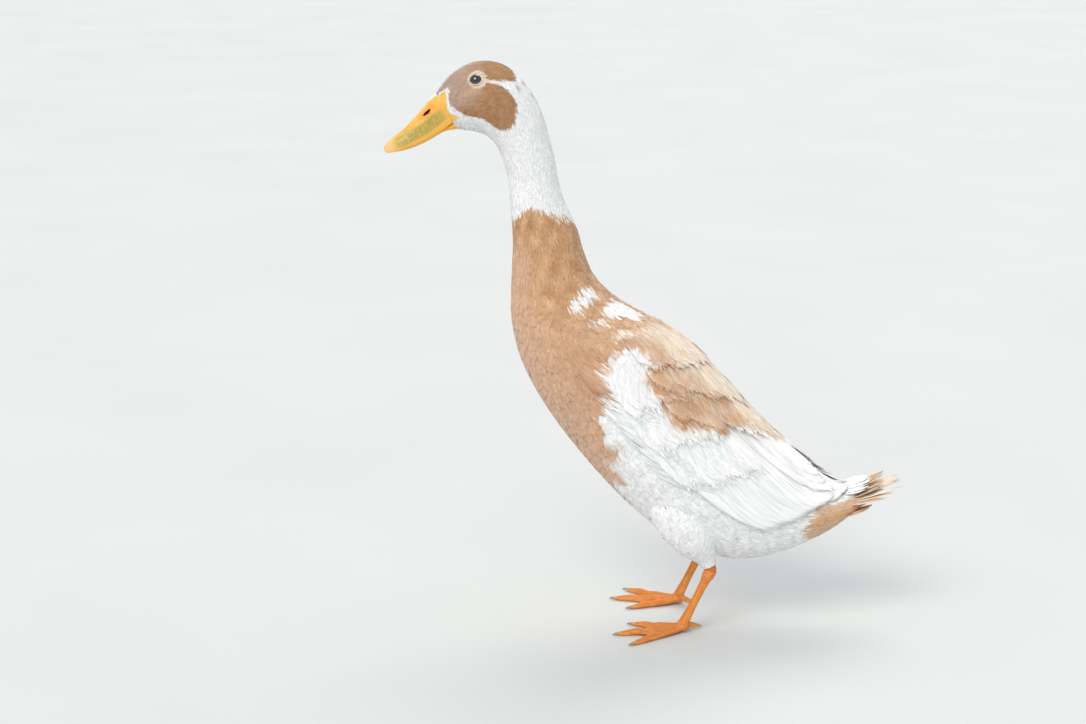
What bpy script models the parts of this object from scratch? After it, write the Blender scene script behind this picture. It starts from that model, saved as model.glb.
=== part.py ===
"""A fawn-and-white Indian runner duck, standing, as a still life-size model.

Metres, +Z up. The bird faces -X, its left side is towards -Y, and it stands on the plane z = 0.
The origin is on the floor below the middle of its length. Flesh is one lofted form from the face to
the root of the tail, cut into head, neck, torso and rump. Wings, tail and legs are set on that form.
"""

import math

import bmesh
import bpy
from mathutils import Matrix, Vector

MM = 0.001
GAP = 0.3 * MM  # clearance kept between touching pieces
BOTH_SIDES = (("left", -1), ("right", 1))  # the bird's left lies towards -Y

# The flesh, from the face to the root of the tail. Each section is a flat ring across the body:
# its dorsal point (x, z), its ventral point (x, z), its half width, all in mm, and how far its
# widest level shifts towards the back (positive) or the belly (negative).
SECTIONS = (
    (-190.0, 500.0, -173.0, 467.0, 12.5, -0.10),
    (-178.5, 514.5, -166.0, 466.4, 17.5, -0.14),
    (-163.0, 524.6, -158.0, 465.4, 21.5, -0.14),
    (-146.5, 527.6, -150.5, 463.4, 24.0, -0.12),
    (-130.0, 524.0, -144.0, 460.2, 24.8, -0.08),
    (-115.0, 512.8, -138.6, 454.6, 24.4, -0.04),
    (-103.8, 497.2, -134.4, 447.4, 23.4, 0.0),
    (-96.6, 482.4, -131.0, 438.8, 22.4, 0.0),
    (-90.6, 463.0, -127.8, 427.5, 21.6, 0.0),
    (-85.6, 443.0, -126.0, 415.0, 21.0, 0.0),
    (-81.4, 421.0, -125.0, 401.0, 21.0, 0.0),
    (-75.6, 401.0, -123.6, 385.0, 21.8, 0.0),
    (-65.5, 379.0, -122.6, 364.5, 24.6, 0.0),
    (-58.0, 354.0, -123.4, 342.0, 29.4, 0.0),
    (-48.0, 332.0, -124.4, 318.0, 36.0, 0.0),
    (-30.0, 313.5, -123.6, 291.0, 44.0, 0.0),
    (-4.4, 298.0, -116.0, 258.0, 52.0, 0.02),
    (22.4, 281.5, -100.0, 224.0, 57.5, 0.03),
    (47.0, 259.5, -77.5, 189.5, 60.5, 0.03),
    (70.0, 234.5, -49.5, 154.0, 61.5, 0.02),
    (92.0, 210.5, -19.5, 121.0, 61.0, 0.0),
    (113.0, 189.5, 10.5, 94.5, 59.0, -0.02),
    (132.5, 170.5, 43.0, 75.0, 55.0, -0.04),
    (150.0, 154.5, 78.0, 64.5, 49.0, -0.05),
    (165.0, 143.0, 112.0, 67.0, 42.0, -0.05),
    (178.0, 135.5, 145.0, 78.5, 35.0, -0.04),
    (190.0, 131.5, 172.0, 92.5, 28.0, 0.0),
    (201.0, 129.5, 191.0, 107.0, 20.5, 0.0),
    (209.0, 128.5, 204.5, 118.5, 13.0, 0.0),
)
SIDES = 28  # corners round each ring
RINGS_PER_SECTION = 1.6
HEAD_START, NECK_START, NECK_MIDDLE, TORSO_START = 0.0, 6.6, 10.8, 14.6
RUMP_START, TAIL_START, FLESH_END = 22.4, 25.4, 28.0

# Eyes, on the head's sides
EYE_X, EYE_Z = -154.7, 513.2
EYE_RADIUS = 6.4
EYE_SUNK = 3.9  # how far the ball's centre lies inside the cheek
LID_WIDE, LID_HIGH = 6.1, 5.2  # half sizes of the lid's opening
LID_THICK = 1.25
LID_SUNK = 0.3

# The upper mandible: culmen (x, z), edge of the mouth (x, z) and half width, from base to tip
UPPER_BILL = (
    (-190.0, 500.0, -172.6, 477.0, 12.3),
    (-200.0, 488.6, -185.0, 467.8, 11.7),
    (-209.4, 477.9, -197.0, 460.6, 11.5),
    (-218.4, 468.4, -208.5, 455.0, 12.0),
    (-226.0, 462.2, -219.5, 451.2, 12.7),
    (-232.0, 457.4, -228.5, 448.4, 11.4),
    (-235.6, 453.6, -234.0, 447.4, 8.0),
)
BILL_TIP = (-237.4, 449.6)
BILL_TIP_SHARE = 0.35  # size of the last ring against the one before it
BILL_EDGE = 1.2  # depth of the upper mandible's edge below its widest line
# The lower mandible: top (x, z), bottom (x, z) and half width
LOWER_BILL = (
    (-173.4, 476.4, -172.8, 467.2, 10.4),
    (-186.0, 468.8, -184.4, 464.8, 10.0),
    (-199.0, 461.6, -197.4, 457.4, 9.8),
    (-212.0, 455.6, -210.8, 451.2, 10.2),
    (-224.0, 451.4, -223.4, 447.6, 9.6),
    (-230.5, 449.4, -230.4, 446.9, 6.0),
)
NOSTRIL = (-199.5, 6.6, 481.6)  # on each side: x, distance from the middle, z
NOSTRIL_HALF = (4.3, 3.6, 1.35)
NAIL_PLACE = (-232.3, 0.0, 452.5)
NAIL_HALF = (5.6, 4.3, 3.7)
BILL_SLOPE = math.radians(-41)

# Legs
LEG_Y = 35.0  # each leg's distance from the middle plane
# The feathered thigh: x, distance from the middle as a share of LEG_Y, z, radii fore-and-aft and across
THIGH = (
    (6.0, 0.55, 152.0, 8.0, 8.0), (17.0, 0.85, 136.0, 21.0, 19.0), (33.0, 1.02, 112.0, 25.0, 19.0),
    (45.0, 1.05, 92.0, 20.0, 15.5), (52.5, 1.02, 79.0, 13.0, 10.5), (56.0, 1.0, 71.5, 8.2, 7.2),
)
FEATHER_END_RADII = (6.4, 5.8)
FEATHER_END = (58.2, 66.5)  # where the bare leg begins (x, z)
HOCK = (60.0, 61.0)
ANKLE = (36.0, 9.5)
# The bare shank: share of the way from hock to ankle, radii fore-and-aft and across
SHANK = (
    (0.0, 5.9, 5.3), (0.11, 5.7, 5.1), (0.25, 4.3, 3.7), (0.62, 3.9, 3.3), (0.88, 4.6, 4.0),
    (1.0, 5.4, 4.8),
)
TRIM_SPARE = 3.0  # length beyond a joint's face, taken off square afterwards
TOE_TURN = math.radians(7)  # the feet point a little outwards
# Each toe: name, angle to the foot's line (outwards positive), length to the claw, thickness
TOES = (
    ("inner", -24.0, 47.0, 3.5),
    ("middle", 2.0, 60.0, 3.9),
    ("outer", 27.0, 56.0, 3.6),
)
# Along each toe: share of its length, height of its middle, radius; the pads lie at the wide places
TOE_ROWS = (
    (0.0, 8.2, 4.6), (0.16, 4.6, 4.0), (0.46, 3.45, 3.8), (0.62, 2.75, 3.1), (0.76, 3.05, 3.4),
    (1.0, 1.95, 2.3),
)
SOLE_PRESS = 0.35  # depth of each pad taken off flat at the floor
# The hind toe: distances behind the ankle and inwards of it, height, radius
HIND_TOE = ((2.0, 2.0, 7.0, 2.6), (8.0, 4.0, 5.6, 2.4), (13.5, 5.6, 4.2, 1.8))
KNUCKLE_PLACE = (-0.5, 0.0, -3.8)  # from the shank's end
KNUCKLE_HALF = (6.4, 5.8, 4.6)
CLAW_RADIUS = 1.9
CLAW_TAPER, CLAW_NARROW = 0.82, 0.8
CLAW_BEND = 0.55
HIND_CLAW = (4.5, 1.4)  # length, radius
CLAW_LENGTH = 7.5
WEB_THICK = 1.3
WEB_START, WEB_REACH = 0.10, 0.93  # shares of the toes' length that the web joins
WEB_SCALLOP = 0.30  # how far its front edge curves back
WEB_HEIGHTS = (4.0, 1.7)

# Feathers that make up the wing, tier by tier from the lowest. For the first and the last feather
# of a tier: root and tip, each a section and an angle from the back in degrees. Then the number of
# feathers, half width in mm, lift above the flesh at root and tip in mm, and roundness of the tip.
WING_TIERS = (
    ("primary", (20.6, 66.0), (25.7, 48.0), (20.8, 42.0), (26.2, 31.0), 4, 6.5, (0.8, 2.6), 0.3),
    ("secondary", (17.9, 88.0), (23.2, 86.0), (18.2, 48.0), (25.0, 42.0), 7, 9.0, (1.0, 4.2), 0.6),
    ("tertial", (19.2, 38.0), (24.9, 28.0), (18.9, 20.0), (23.2, 13.0), 3, 10.0, (1.2, 5.6), 0.6),
    ("greater_covert", (17.4, 86.0), (20.3, 93.0), (17.5, 52.0), (21.3, 57.0), 5, 10.5, (1.0, 6.4), 0.9),
    ("median_covert", (16.8, 80.0), (18.9, 89.0), (16.9, 50.0), (19.2, 54.0), 5, 10.5, (0.8, 7.6), 1.0),
    ("long_scapular", (17.8, 48.0), (21.3, 53.0), (17.4, 18.0), (21.6, 15.0), 5, 11.5, (1.2, 7.2), 0.9),
    ("short_scapular", (16.6, 48.0), (19.1, 56.0), (16.5, 20.0), (18.9, 16.0), 5, 12.0, (0.8, 8.2), 1.0),
)
LIFT_EASE = 0.6  # below 1 each feather rises out of the arm early
VANE_THICK = 0.8
VANE_ROLL = 6.0  # degrees by which each vane tips over its neighbour
VANE_ROW = 30.0 * MM  # length of vane to each row of faces, with three or four rows in all
TIP_CROWDING = 1.35  # above 1 the rows lie closer together towards the tip
# The hand and arm below the feathers: section, its upper and lower angle, thickness in mm
WING_ARM = (
    (15.6, 38.0, 62.0, 1.2),
    (16.2, 18.0, 82.0, 3.6),
    (16.9, 11.0, 92.0, 4.8),
    (17.8, 9.0, 95.0, 5.2),
    (19.4, 9.0, 94.0, 4.6),
    (21.2, 9.0, 88.0, 4.0),
    (22.8, 10.0, 74.0, 3.4),
    (24.2, 12.0, 58.0, 2.8),
    (25.0, 18.0, 46.0, 2.0),
)
ARM_RIM = 0.9  # thickness of the arm's edge
ARM_SUNK = 2.5  # depth to which it starts inside the body, before the body is cut out of it

# Tail feathers, in pairs from the outermost to the middle one
TAIL_ROOT = (181.0, 118.0)
TAIL_ROOT_SPREAD = 15.0  # distance of the outermost root from the middle
TAIL_ROOF = 3.0  # how much higher the middle pair is rooted than the outermost
TAIL_CURL = 2.2  # lift of the tips
TAIL_PAIRS = 5
TAIL_SPREAD = 21.0  # degrees from the middle to the outermost
TAIL_LENGTHS = (38.0, 56.0)
TAIL_RISE = (11.0, 16.0)  # degrees above the level, outermost and middle
TAIL_HALF_WIDTHS = (7.0, 8.2)
# Coverts above and below the tail: name, pairs, spread, length, half width, rise, root x and height
TAIL_COVERTS = (
    ("upper_covert", 2, 18.0, 38.0, 8.5, 13.0, (187.0, 124.0)),
    ("under_covert", 3, 18.0, 42.0, 9.0, 20.0, (176.0, 106.0)),
)

SMOOTH_ANGLE = math.radians(40)


def clear_scene():
    for obj in list(bpy.data.objects):
        bpy.data.objects.remove(obj, do_unlink=True)


def material(name, colour, roughness, metallic=0.0):
    made = bpy.data.materials.new(name)
    made.use_nodes = True
    shader = made.node_tree.nodes["Principled BSDF"]
    shader.inputs["Base Color"].default_value = (*colour, 1.0)
    shader.inputs["Roughness"].default_value = roughness
    shader.inputs["Metallic"].default_value = metallic
    made.diffuse_color = (*colour, 1.0)
    return made


def spline(rows, at):
    """A smooth curve through the rows, read at a place counted in rows."""
    low = max(0, min(len(rows) - 2, int(math.floor(at))))
    share = at - low
    before, start, end, after = (
        rows[max(0, min(len(rows) - 1, low + step))] for step in (-1, 0, 1, 2)
    )
    return [
        0.5 * (2 * b + (c - a) * share + (2 * a - 5 * b + 4 * c - d) * share**2
               + (3 * b - a - 3 * c + d) * share**3)
        for a, b, c, d in zip(before, start, end, after, strict=True)
    ]


def flesh_at(at, angle):
    """A point of the flesh: angle 0 on the back, growing towards the bird's right."""
    back_x, back_z, belly_x, belly_z, half_width, shift = spline(SECTIONS, at)
    back = Vector((back_x, 0.0, back_z))
    belly = Vector((belly_x, 0.0, belly_z))
    middle = (back + belly) / 2
    sideways = half_width * math.sin(angle) * (1 + shift * math.cos(angle))
    point = middle + (back - belly) / 2 * math.cos(angle) + Vector((0.0, sideways, 0.0))
    return point * MM


def normal_at(at, angle):
    """The flesh's outward direction there."""
    step = 0.02
    along = flesh_at(min(at + step, FLESH_END), angle) - flesh_at(max(at - step, 0.0), angle)
    around = flesh_at(at, angle + step) - flesh_at(at, angle - step)
    return along.cross(around).normalized()


def lifted(at, angle, lift):
    return flesh_at(at, angle) + normal_at(at, angle) * lift


def section_axis(at):
    """The direction square to the ring at that section, towards the tail."""
    back_x, back_z, belly_x, belly_z = spline(SECTIONS, at)[:4]
    across = Vector((back_x - belly_x, 0.0, back_z - belly_z)).normalized()
    return Vector((across.z, 0.0, -across.x))


def outward_normals(bm):
    bm.normal_update()
    bmesh.ops.recalc_face_normals(bm, faces=bm.faces)


def finish_mesh(bm, name, look):
    """Makes an object of a closed bmesh."""
    outward_normals(bm)
    mesh = bpy.data.meshes.new(name)
    bm.to_mesh(mesh)
    bm.free()
    mesh.shade_smooth()
    mesh.set_sharp_from_angle(angle=SMOOTH_ANGLE)
    obj = bpy.data.objects.new(name, mesh)
    bpy.context.scene.collection.objects.link(obj)
    obj.data.materials.append(look)
    return obj


def loft(name, look, rings):
    """A closed skin over rings of points, each ring with the same number of corners."""
    bm = bmesh.new()
    edges = []
    for points in rings:
        made = bmesh.ops.create_circle(bm, segments=len(points), radius=1.0)
        for vertex, point in zip(made["verts"], points, strict=True):
            vertex.co = point
        edges.append(list({edge for vertex in made["verts"] for edge in vertex.link_edges}))
    for first, second in zip(edges, edges[1:]):
        bmesh.ops.bridge_loops(bm, edges=first + second)
    for ends in (edges[0], edges[-1]):
        bmesh.ops.contextual_create(bm, geom=ends)
    bmesh.ops.triangulate(bm, faces=bm.faces)
    return finish_mesh(bm, name, look)


def flesh(name, look, start, end, swell=0.0, sides=SIDES, trimmed=True):
    """The flesh from one section to another, its cut ends drawn back by half a gap."""
    count = max(2, round((end - start) * RINGS_PER_SECTION)) + 1
    rings = []
    for number in range(count):
        at = start + (end - start) * number / (count - 1)
        shift = Vector()
        if trimmed and number == 0:
            shift = section_axis(at) * GAP / 2
        if trimmed and number == count - 1:
            shift = -section_axis(at) * GAP / 2
        rings.append([
            lifted(at, math.tau * corner / sides, swell) + shift for corner in range(sides)
        ])
    return loft(name, look, rings)


def limb(name, look, joints, sides=12):
    """A tapering round limb through points (x, y, z, radius along X, radius along Y), in mm."""
    rings = []
    for number, (x, y, z, radius_x, radius_y) in enumerate(joints):
        before = Vector(joints[max(0, number - 1)][:3])
        after = Vector(joints[min(len(joints) - 1, number + 1)][:3])
        turn = (after - before).to_track_quat("Z", "Y").to_matrix()
        ring = []
        for corner in range(sides):
            angle = math.tau * corner / sides
            spoke = Vector((radius_x * math.cos(angle), radius_y * math.sin(angle), 0.0))
            ring.append((Vector((x, y, z)) + turn @ spoke) * MM)
        rings.append(ring)
    return loft(name, look, rings)


def ball(name, look, centre, half_sizes, turn=None, swell=0.0, sides=16):
    """An ellipsoid, its centre and half sizes in mm."""
    bm = bmesh.new()
    bmesh.ops.create_uvsphere(bm, u_segments=sides, v_segments=sides // 2, radius=1.0)
    size = Matrix.Diagonal([half * MM + swell for half in half_sizes]).to_4x4()
    turn = turn or Matrix.Identity(4)
    bm.transform(Matrix.Translation(Vector(centre) * MM) @ turn @ size)
    bmesh.ops.triangulate(bm, faces=bm.faces)
    return finish_mesh(bm, name, look)


def applied(obj, modifier):
    """Turns the modifier's result into the object's own mesh."""
    graph = bpy.context.evaluated_depsgraph_get()
    mesh = bpy.data.meshes.new_from_object(obj.evaluated_get(graph))
    obj.modifiers.remove(modifier)
    obj.data = mesh
    return obj


def keep_largest(obj):
    """Leaves only the largest closed surface of a mesh."""
    bm = bmesh.new()
    bm.from_mesh(obj.data)
    left = set(bm.faces)
    islands = []
    while left:
        island, edge_of = set(), [left.pop()]
        while edge_of:
            face = edge_of.pop()
            island.add(face)
            for edge in face.edges:
                near = [other for other in edge.link_faces if other in left]
                left.difference_update(near)
                edge_of.extend(near)
        islands.append(island)
    islands.sort(key=lambda faces: sum(face.calc_area() for face in faces))
    for island in islands[:-1]:
        bmesh.ops.delete(bm, geom=list(island), context="FACES")
    bmesh.ops.dissolve_degenerate(bm, dist=0.002 * MM, edges=bm.edges)
    bmesh.ops.triangulate(bm, faces=bm.faces)
    bm.to_mesh(obj.data)
    bm.free()
    obj.data.shade_smooth()
    obj.data.set_sharp_from_angle(angle=SMOOTH_ANGLE)
    return obj


def joined(obj, pieces, solver="EXACT"):
    """Fuses the pieces into the object with one union."""
    group = bpy.data.collections.new(obj.name + " pieces")
    bpy.context.scene.collection.children.link(group)
    for piece in pieces:
        bpy.context.scene.collection.objects.unlink(piece)
        group.objects.link(piece)
    union = obj.modifiers.new("union", "BOOLEAN")
    union.operation = "UNION"
    union.solver = solver
    union.operand_type = "COLLECTION"
    union.collection = group
    applied(obj, union)
    for piece in pieces:
        bpy.data.objects.remove(piece, do_unlink=True)
    bpy.data.collections.remove(group)
    return keep_largest(obj)


def cut(obj, cutter, remove=True, solver="EXACT"):
    """Takes the cutter's shape out of the object."""
    difference = obj.modifiers.new("cut", "BOOLEAN")
    difference.operation = "DIFFERENCE"
    difference.solver = solver
    difference.object = cutter
    applied(obj, difference)
    if remove:
        bpy.data.objects.remove(cutter, do_unlink=True)
    return keep_largest(obj)


def trim(obj, point, outward, block=0.3):
    """Takes off whatever lies beyond a plane (point in metres), with a large block."""
    bm = bmesh.new()
    bmesh.ops.create_cube(bm, size=block)
    turn = outward.to_track_quat("Z", "Y").to_matrix().to_4x4()
    bm.transform(Matrix.Translation(point + outward * block / 2) @ turn)
    return cut(obj, finish_mesh(bm, "block", obj.data.materials[0]))


def tip_shape(share, roundness):
    """A feather's half width along its length, as a share of its widest."""
    swelling = 0.62 + 0.38 * math.sin(min(share / 0.55, 1.0) * math.pi / 2)
    turn_in = 0.55 + 0.2 * roundness
    if share <= turn_in:
        return swelling
    past = (share - turn_in) / (1 - turn_in)
    rounded = math.sqrt(max(0.0, 1 - past**2 * 0.96))
    pointed = 1 - 0.93 * past
    return swelling * (roundness * rounded + (1 - roundness) * pointed)


def vane(name, look, place, half_width, roundness, roll=0.0):
    """One feather: place(share) gives its quill's point and outward direction along its length.

    The blade is a strip that follows the quill, rolled about it, then thickened, so that both faces
    are split into triangles alike.
    """
    bm = bmesh.new()
    length = (place(1.0)[0] - place(0.0)[0]).length
    rows = min(4, max(3, round(length / VANE_ROW)))
    bmesh.ops.create_grid(bm, x_segments=1, y_segments=rows, size=1.0)
    for vertex in bm.verts:
        across, share = vertex.co.x, (vertex.co.y + 1) / 2
        share = 1 - (1 - share) ** TIP_CROWDING
        point, outward = place(share)
        ahead = place(min(share + 0.02, 1.0))[0] - place(max(share - 0.02, 0.0))[0]
        sideways = outward.cross(ahead).normalized()
        reach = across * half_width * MM * tip_shape(share, roundness)
        rise = math.tan(math.radians(roll)) * reach
        vertex.co = point + sideways * reach + outward * rise
    outward_normals(bm)
    bmesh.ops.triangulate(bm, faces=bm.faces)
    bmesh.ops.solidify(bm, geom=bm.faces[:], thickness=VANE_THICK * MM)
    return finish_mesh(bm, name, look)


def on_flesh(root, tip, lifts, side):
    """A quill's path over the flesh, from root to tip (section, angle in degrees), lifted."""

    def place(share):
        at = root[0] + (tip[0] - root[0]) * share
        angle = side * math.radians(root[1] + (tip[1] - root[1]) * share)
        lift = (lifts[0] + (lifts[1] - lifts[0]) * share**LIFT_EASE) * MM
        return lifted(at, angle, lift), normal_at(at, angle)

    return place


def between(first, last, share):
    return tuple(a + (b - a) * share for a, b in zip(first, last, strict=True))


def wing_arm(name, look, side):
    """The folded arm and hand: a flat pad on the body's side that the feathers grow from."""
    bm = bmesh.new()
    bmesh.ops.create_grid(bm, x_segments=10, y_segments=7, size=1.0)
    rims = {}
    for vertex in bm.verts:
        row = (vertex.co.x + 1) / 2 * (len(WING_ARM) - 1)
        at, top, low, thick = spline(WING_ARM, row)
        share = (vertex.co.y + 1) / 2
        angle = side * math.radians(top + (low - top) * share)
        crown = 1 - abs(2 * share - 1) ** 3
        rims[vertex] = (at, angle)
        vertex.co = lifted(at, angle, max(ARM_RIM, thick * crown) * MM)
    outward_normals(bm)
    bmesh.ops.triangulate(bm, faces=bm.faces)
    inner = bmesh.ops.extrude_face_region(bm, geom=bm.faces[:])
    for vertex in (item for item in inner["geom"] if isinstance(item, bmesh.types.BMVert)):
        nearest = min(rims, key=lambda known: (known.co - vertex.co).length)
        vertex.co = lifted(*rims[nearest], -ARM_SUNK * MM)
    return finish_mesh(bm, name, look)


def wing(name, look, side):
    """One folded wing: the arm with each tier of feathers fused to it, hollowed to fit the body."""
    feathers = []
    for tier, first_root, first_tip, last_root, last_tip, count, half_width, lifts, roundness in WING_TIERS:
        for number in range(count):
            share = number / (count - 1)
            root = between(first_root, last_root, share)
            tip = between(first_tip, last_tip, share)
            feathers.append(vane(
                f"{tier}_{number}", look, on_flesh(root, tip, lifts, side), half_width, roundness,
                roll=side * VANE_ROLL,
            ))
    body = joined(wing_arm(name, look, side), feathers)
    hollow = flesh("hollow", look, TORSO_START - 0.5, FLESH_END, swell=GAP, trimmed=False)
    return cut(body, hollow)


def fan(name, look, pairs, spread, lengths, half_widths, rises, root, roundness):
    """Feathers fanned from the tail's root, the outermost lowest, in pairs about the middle."""
    feathers = []
    last = 2 * pairs - 1
    for number in range(2 * pairs):
        off_middle = 2 * number / last - 1
        inward = 1 - abs(off_middle)
        turn = math.radians(spread) * off_middle
        rise = math.radians(rises[0] + (rises[1] - rises[0]) * inward)
        length = lengths[0] + (lengths[1] - lengths[0]) * math.sqrt(inward)
        start = Vector((root[0], TAIL_ROOT_SPREAD * off_middle, root[1] + TAIL_ROOF * inward)) * MM
        heading = Vector((
            math.cos(turn) * math.cos(rise), math.sin(turn) * math.cos(rise), math.sin(rise),
        ))
        outward = Vector((-math.sin(rise), 0.0, math.cos(rise)))

        def place(share, start=start, heading=heading, outward=outward, length=length):
            curl = TAIL_CURL * MM * share**2
            return start + heading * length * share * MM + outward * curl, outward

        half_width = half_widths[0] + (half_widths[1] - half_widths[0]) * inward
        roll = -math.copysign(VANE_ROLL, off_middle)
        feathers.append(vane(f"{name}_{number}", look, place, half_width, roundness, roll))
    return feathers


def tail(look):
    """The tail: stiff feathers with coverts above and below, fused to its root."""
    feathers = fan("tail_feather", look, TAIL_PAIRS, TAIL_SPREAD, TAIL_LENGTHS, TAIL_HALF_WIDTHS,
                   TAIL_RISE, TAIL_ROOT, 0.25)
    for name, pairs, spread, length, half_width, rise, root in TAIL_COVERTS:
        feathers += fan(name, look, pairs, spread, (length * 0.85, length), (half_width,) * 2,
                        (rise, rise), root, 0.8)
    whole = joined(flesh("tail", look, TAIL_START, FLESH_END, sides=16), feathers)
    front = section_axis(TAIL_START)
    return trim(whole, flesh_at(TAIL_START, 0.0) + front * GAP / 2, -front)


def head(look):
    """The head with a raised lid round each eye, and a socket for each eyeball."""
    obj = flesh("head", look, HEAD_START, NECK_START)
    joined(obj, [lids(look, side) for _, side in BOTH_SIDES])
    for _, side in BOTH_SIDES:
        cut(obj, ball("socket", look, eye_centre(side), (EYE_RADIUS,) * 3, swell=GAP))
    return obj


def lids(look, side):
    """The rim of both lids, an oval ring laid on the cheek."""
    bm = bmesh.new()
    bmesh.ops.create_circle(bm, segments=6, radius=LID_THICK * MM)
    bm.transform(Matrix.Translation((LID_WIDE * MM, 0, 0)) @ Matrix.Rotation(math.pi / 2, 4, "X"))
    bmesh.ops.spin(bm, geom=bm.edges[:], cent=(0, 0, 0), axis=(0, 0, 1), steps=18,
                   angle=math.tau, use_merge=True)
    bmesh.ops.remove_doubles(bm, verts=bm.verts, dist=0.01 * MM)
    bm.transform(Matrix.Diagonal((1.0, LID_HIGH / LID_WIDE, 1.0, 1.0)))
    point, outward = cheek(side)
    turn = outward.to_track_quat("Z", "Y").to_matrix().to_4x4()
    bm.transform(Matrix.Translation(point - outward * LID_SUNK * MM) @ turn)
    bmesh.ops.triangulate(bm, faces=bm.faces)
    return finish_mesh(bm, "lids", look)


def cheek(side):
    """Section and angle where the eye comes out of the head, and the point there."""
    best = min(
        ((at / 20, math.radians(angle)) for at in range(20, 70) for angle in range(20, 100, 2)),
        key=lambda place: (flesh_at(*place).x - EYE_X * MM) ** 2
        + (flesh_at(*place).z - EYE_Z * MM) ** 2,
    )
    at, angle = best
    return flesh_at(at, side * angle), normal_at(at, side * angle)


def eye_centre(side):
    point, outward = cheek(side)
    return (point - outward * EYE_SUNK * MM) / MM


def bill_ring(top, edge, half_width, under, sides=16, swell=0.0):
    """A section of a mandible: arched from edge to edge over the top, and nearly flat below."""
    top, edge = Vector((top[0], 0.0, top[1])), Vector((edge[0], 0.0, edge[1]))
    up = (top - edge).normalized()
    points = []
    for corner in range(sides):
        angle = math.tau * corner / sides
        level = math.cos(angle)
        height = (top - edge).length * abs(level) ** 0.85 if level >= 0 else -under * abs(level)
        height += swell / MM * level
        sideways = -(half_width + swell / MM) * math.copysign(abs(math.sin(angle)) ** 0.8, math.sin(angle))
        points.append((edge + up * height + Vector((0.0, sideways, 0.0))) * MM)
    return points


def even_rows(rows, count):
    """The rows' smooth curve, read at evenly spaced places."""
    return [spline(rows, step * (len(rows) - 1) / (count - 1)) for step in range(count)]


def lower_mandible(name, look, swell=0.0):
    rings = [
        bill_ring((x, z), (low_x, (z + low_z) / 2), wide, (z - low_z) / 2, swell=swell)
        for x, z, low_x, low_z, wide in even_rows(LOWER_BILL, 8)
    ]
    return loft(name, look, rings)


def bill(look, nail_look):
    """Both mandibles and the nail. The lower one lies in a hollow of the upper."""
    rings = [
        bill_ring((x, z), (edge_x, edge_z), wide, BILL_EDGE)
        for x, z, edge_x, edge_z, wide in even_rows(UPPER_BILL, 10)
    ]
    tip = Vector((BILL_TIP[0], 0.0, BILL_TIP[1])) * MM
    rings.append([tip.lerp(point, BILL_TIP_SHARE) for point in rings[-1]])
    upper = loft("bill_upper", look, rings)
    lower = lower_mandible("bill_lower", look)
    cut(upper, lower_mandible("hollow", look, swell=GAP))
    turn = Matrix.Rotation(BILL_SLOPE, 4, "Y")
    nail = ball("bill_nail", nail_look, NAIL_PLACE, NAIL_HALF, turn=turn, sides=12)
    for _, side in BOTH_SIDES:
        x, away, z = NOSTRIL
        cut(upper, ball("pit", look, (x, side * away, z), NOSTRIL_HALF, turn=turn, sides=8))
    cut(upper, ball("seat", look, NAIL_PLACE, NAIL_HALF, turn=turn, swell=GAP, sides=12))
    cut(nail, lower_mandible("hollow", look, swell=GAP))
    face = section_axis(0.0)
    for mandible in (upper, lower):
        trim(mandible, flesh_at(0.0, 0.0) - face * GAP / 2, face)


def leg(label, side, feather_look, skin_look, horn_look):
    """One leg: feathered thigh, bare shank, webbed foot and its claws."""
    y = side * LEG_Y
    hock = Vector((HOCK[0], y, HOCK[1]))
    ankle = Vector((ANKLE[0], y, ANKLE[1]))
    feather_end = Vector((FEATHER_END[0], y, FEATHER_END[1]))
    down = (ankle - hock).normalized()
    slant = (hock - feather_end).normalized()
    rows = [(x, y * away, z, long, wide) for x, away, z, long, wide in THIGH]
    rows.append((*(feather_end + slant * TRIM_SPARE), *FEATHER_END_RADII))
    thigh = limb(f"thigh_{label}", feather_look, rows, sides=16)
    trim(thigh, (feather_end - slant * GAP / MM / 2) * MM, slant)
    cut(thigh, flesh("hollow", skin_look, TORSO_START - 0.5, FLESH_END, swell=GAP, trimmed=False))
    rows = [(*(feather_end - slant * TRIM_SPARE), *SHANK[0][1:])]
    rows += [(*hock.lerp(ankle, share), long, wide) for share, long, wide in SHANK]
    shank = limb(f"shank_{label}", skin_look, rows)
    trim(shank, (feather_end + slant * GAP / MM / 2) * MM, -slant)
    foot(label, side, ankle, down, skin_look, horn_look)


def toe_line(ankle, side, degrees, length, thick):
    """A toe's heading and the points along it, each with its radii, in mm."""
    angle = math.radians(degrees) + TOE_TURN
    heading = Vector((-math.cos(angle), side * math.sin(angle), 0.0))
    rows = []
    for share, high, radius in TOE_ROWS:
        point = ankle + heading * (length * share)
        size = radius * thick / TOES[1][3]
        height = min(high, size - SOLE_PRESS) if share > WEB_START else high
        rows.append((point.x, point.y, height, size, size))
    return heading, rows


def web(look, first, second):
    """The skin between two toes, its front edge curving back between them."""
    bm = bmesh.new()
    bmesh.ops.create_grid(bm, x_segments=3, y_segments=4, size=1.0)
    for vertex in bm.verts:
        across, share = (vertex.co.x + 1) / 2, (vertex.co.y + 1) / 2
        scallop = 1 - WEB_SCALLOP * math.sin(across * math.pi) * share
        reach = (WEB_START + (WEB_REACH - WEB_START) * share) * scallop
        high = WEB_HEIGHTS[0] + (WEB_HEIGHTS[1] - WEB_HEIGHTS[0]) * share
        ends = [Vector(rows[0][:3]).lerp(Vector(rows[-1][:3]), reach) for rows in (first, second)]
        point = ends[0].lerp(ends[1], across)
        vertex.co = Vector((point.x, point.y, high)) * MM
    outward_normals(bm)
    bmesh.ops.triangulate(bm, faces=bm.faces)
    bmesh.ops.solidify(bm, geom=bm.faces[:], thickness=WEB_THICK * MM)
    return finish_mesh(bm, "web", look)


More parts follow.
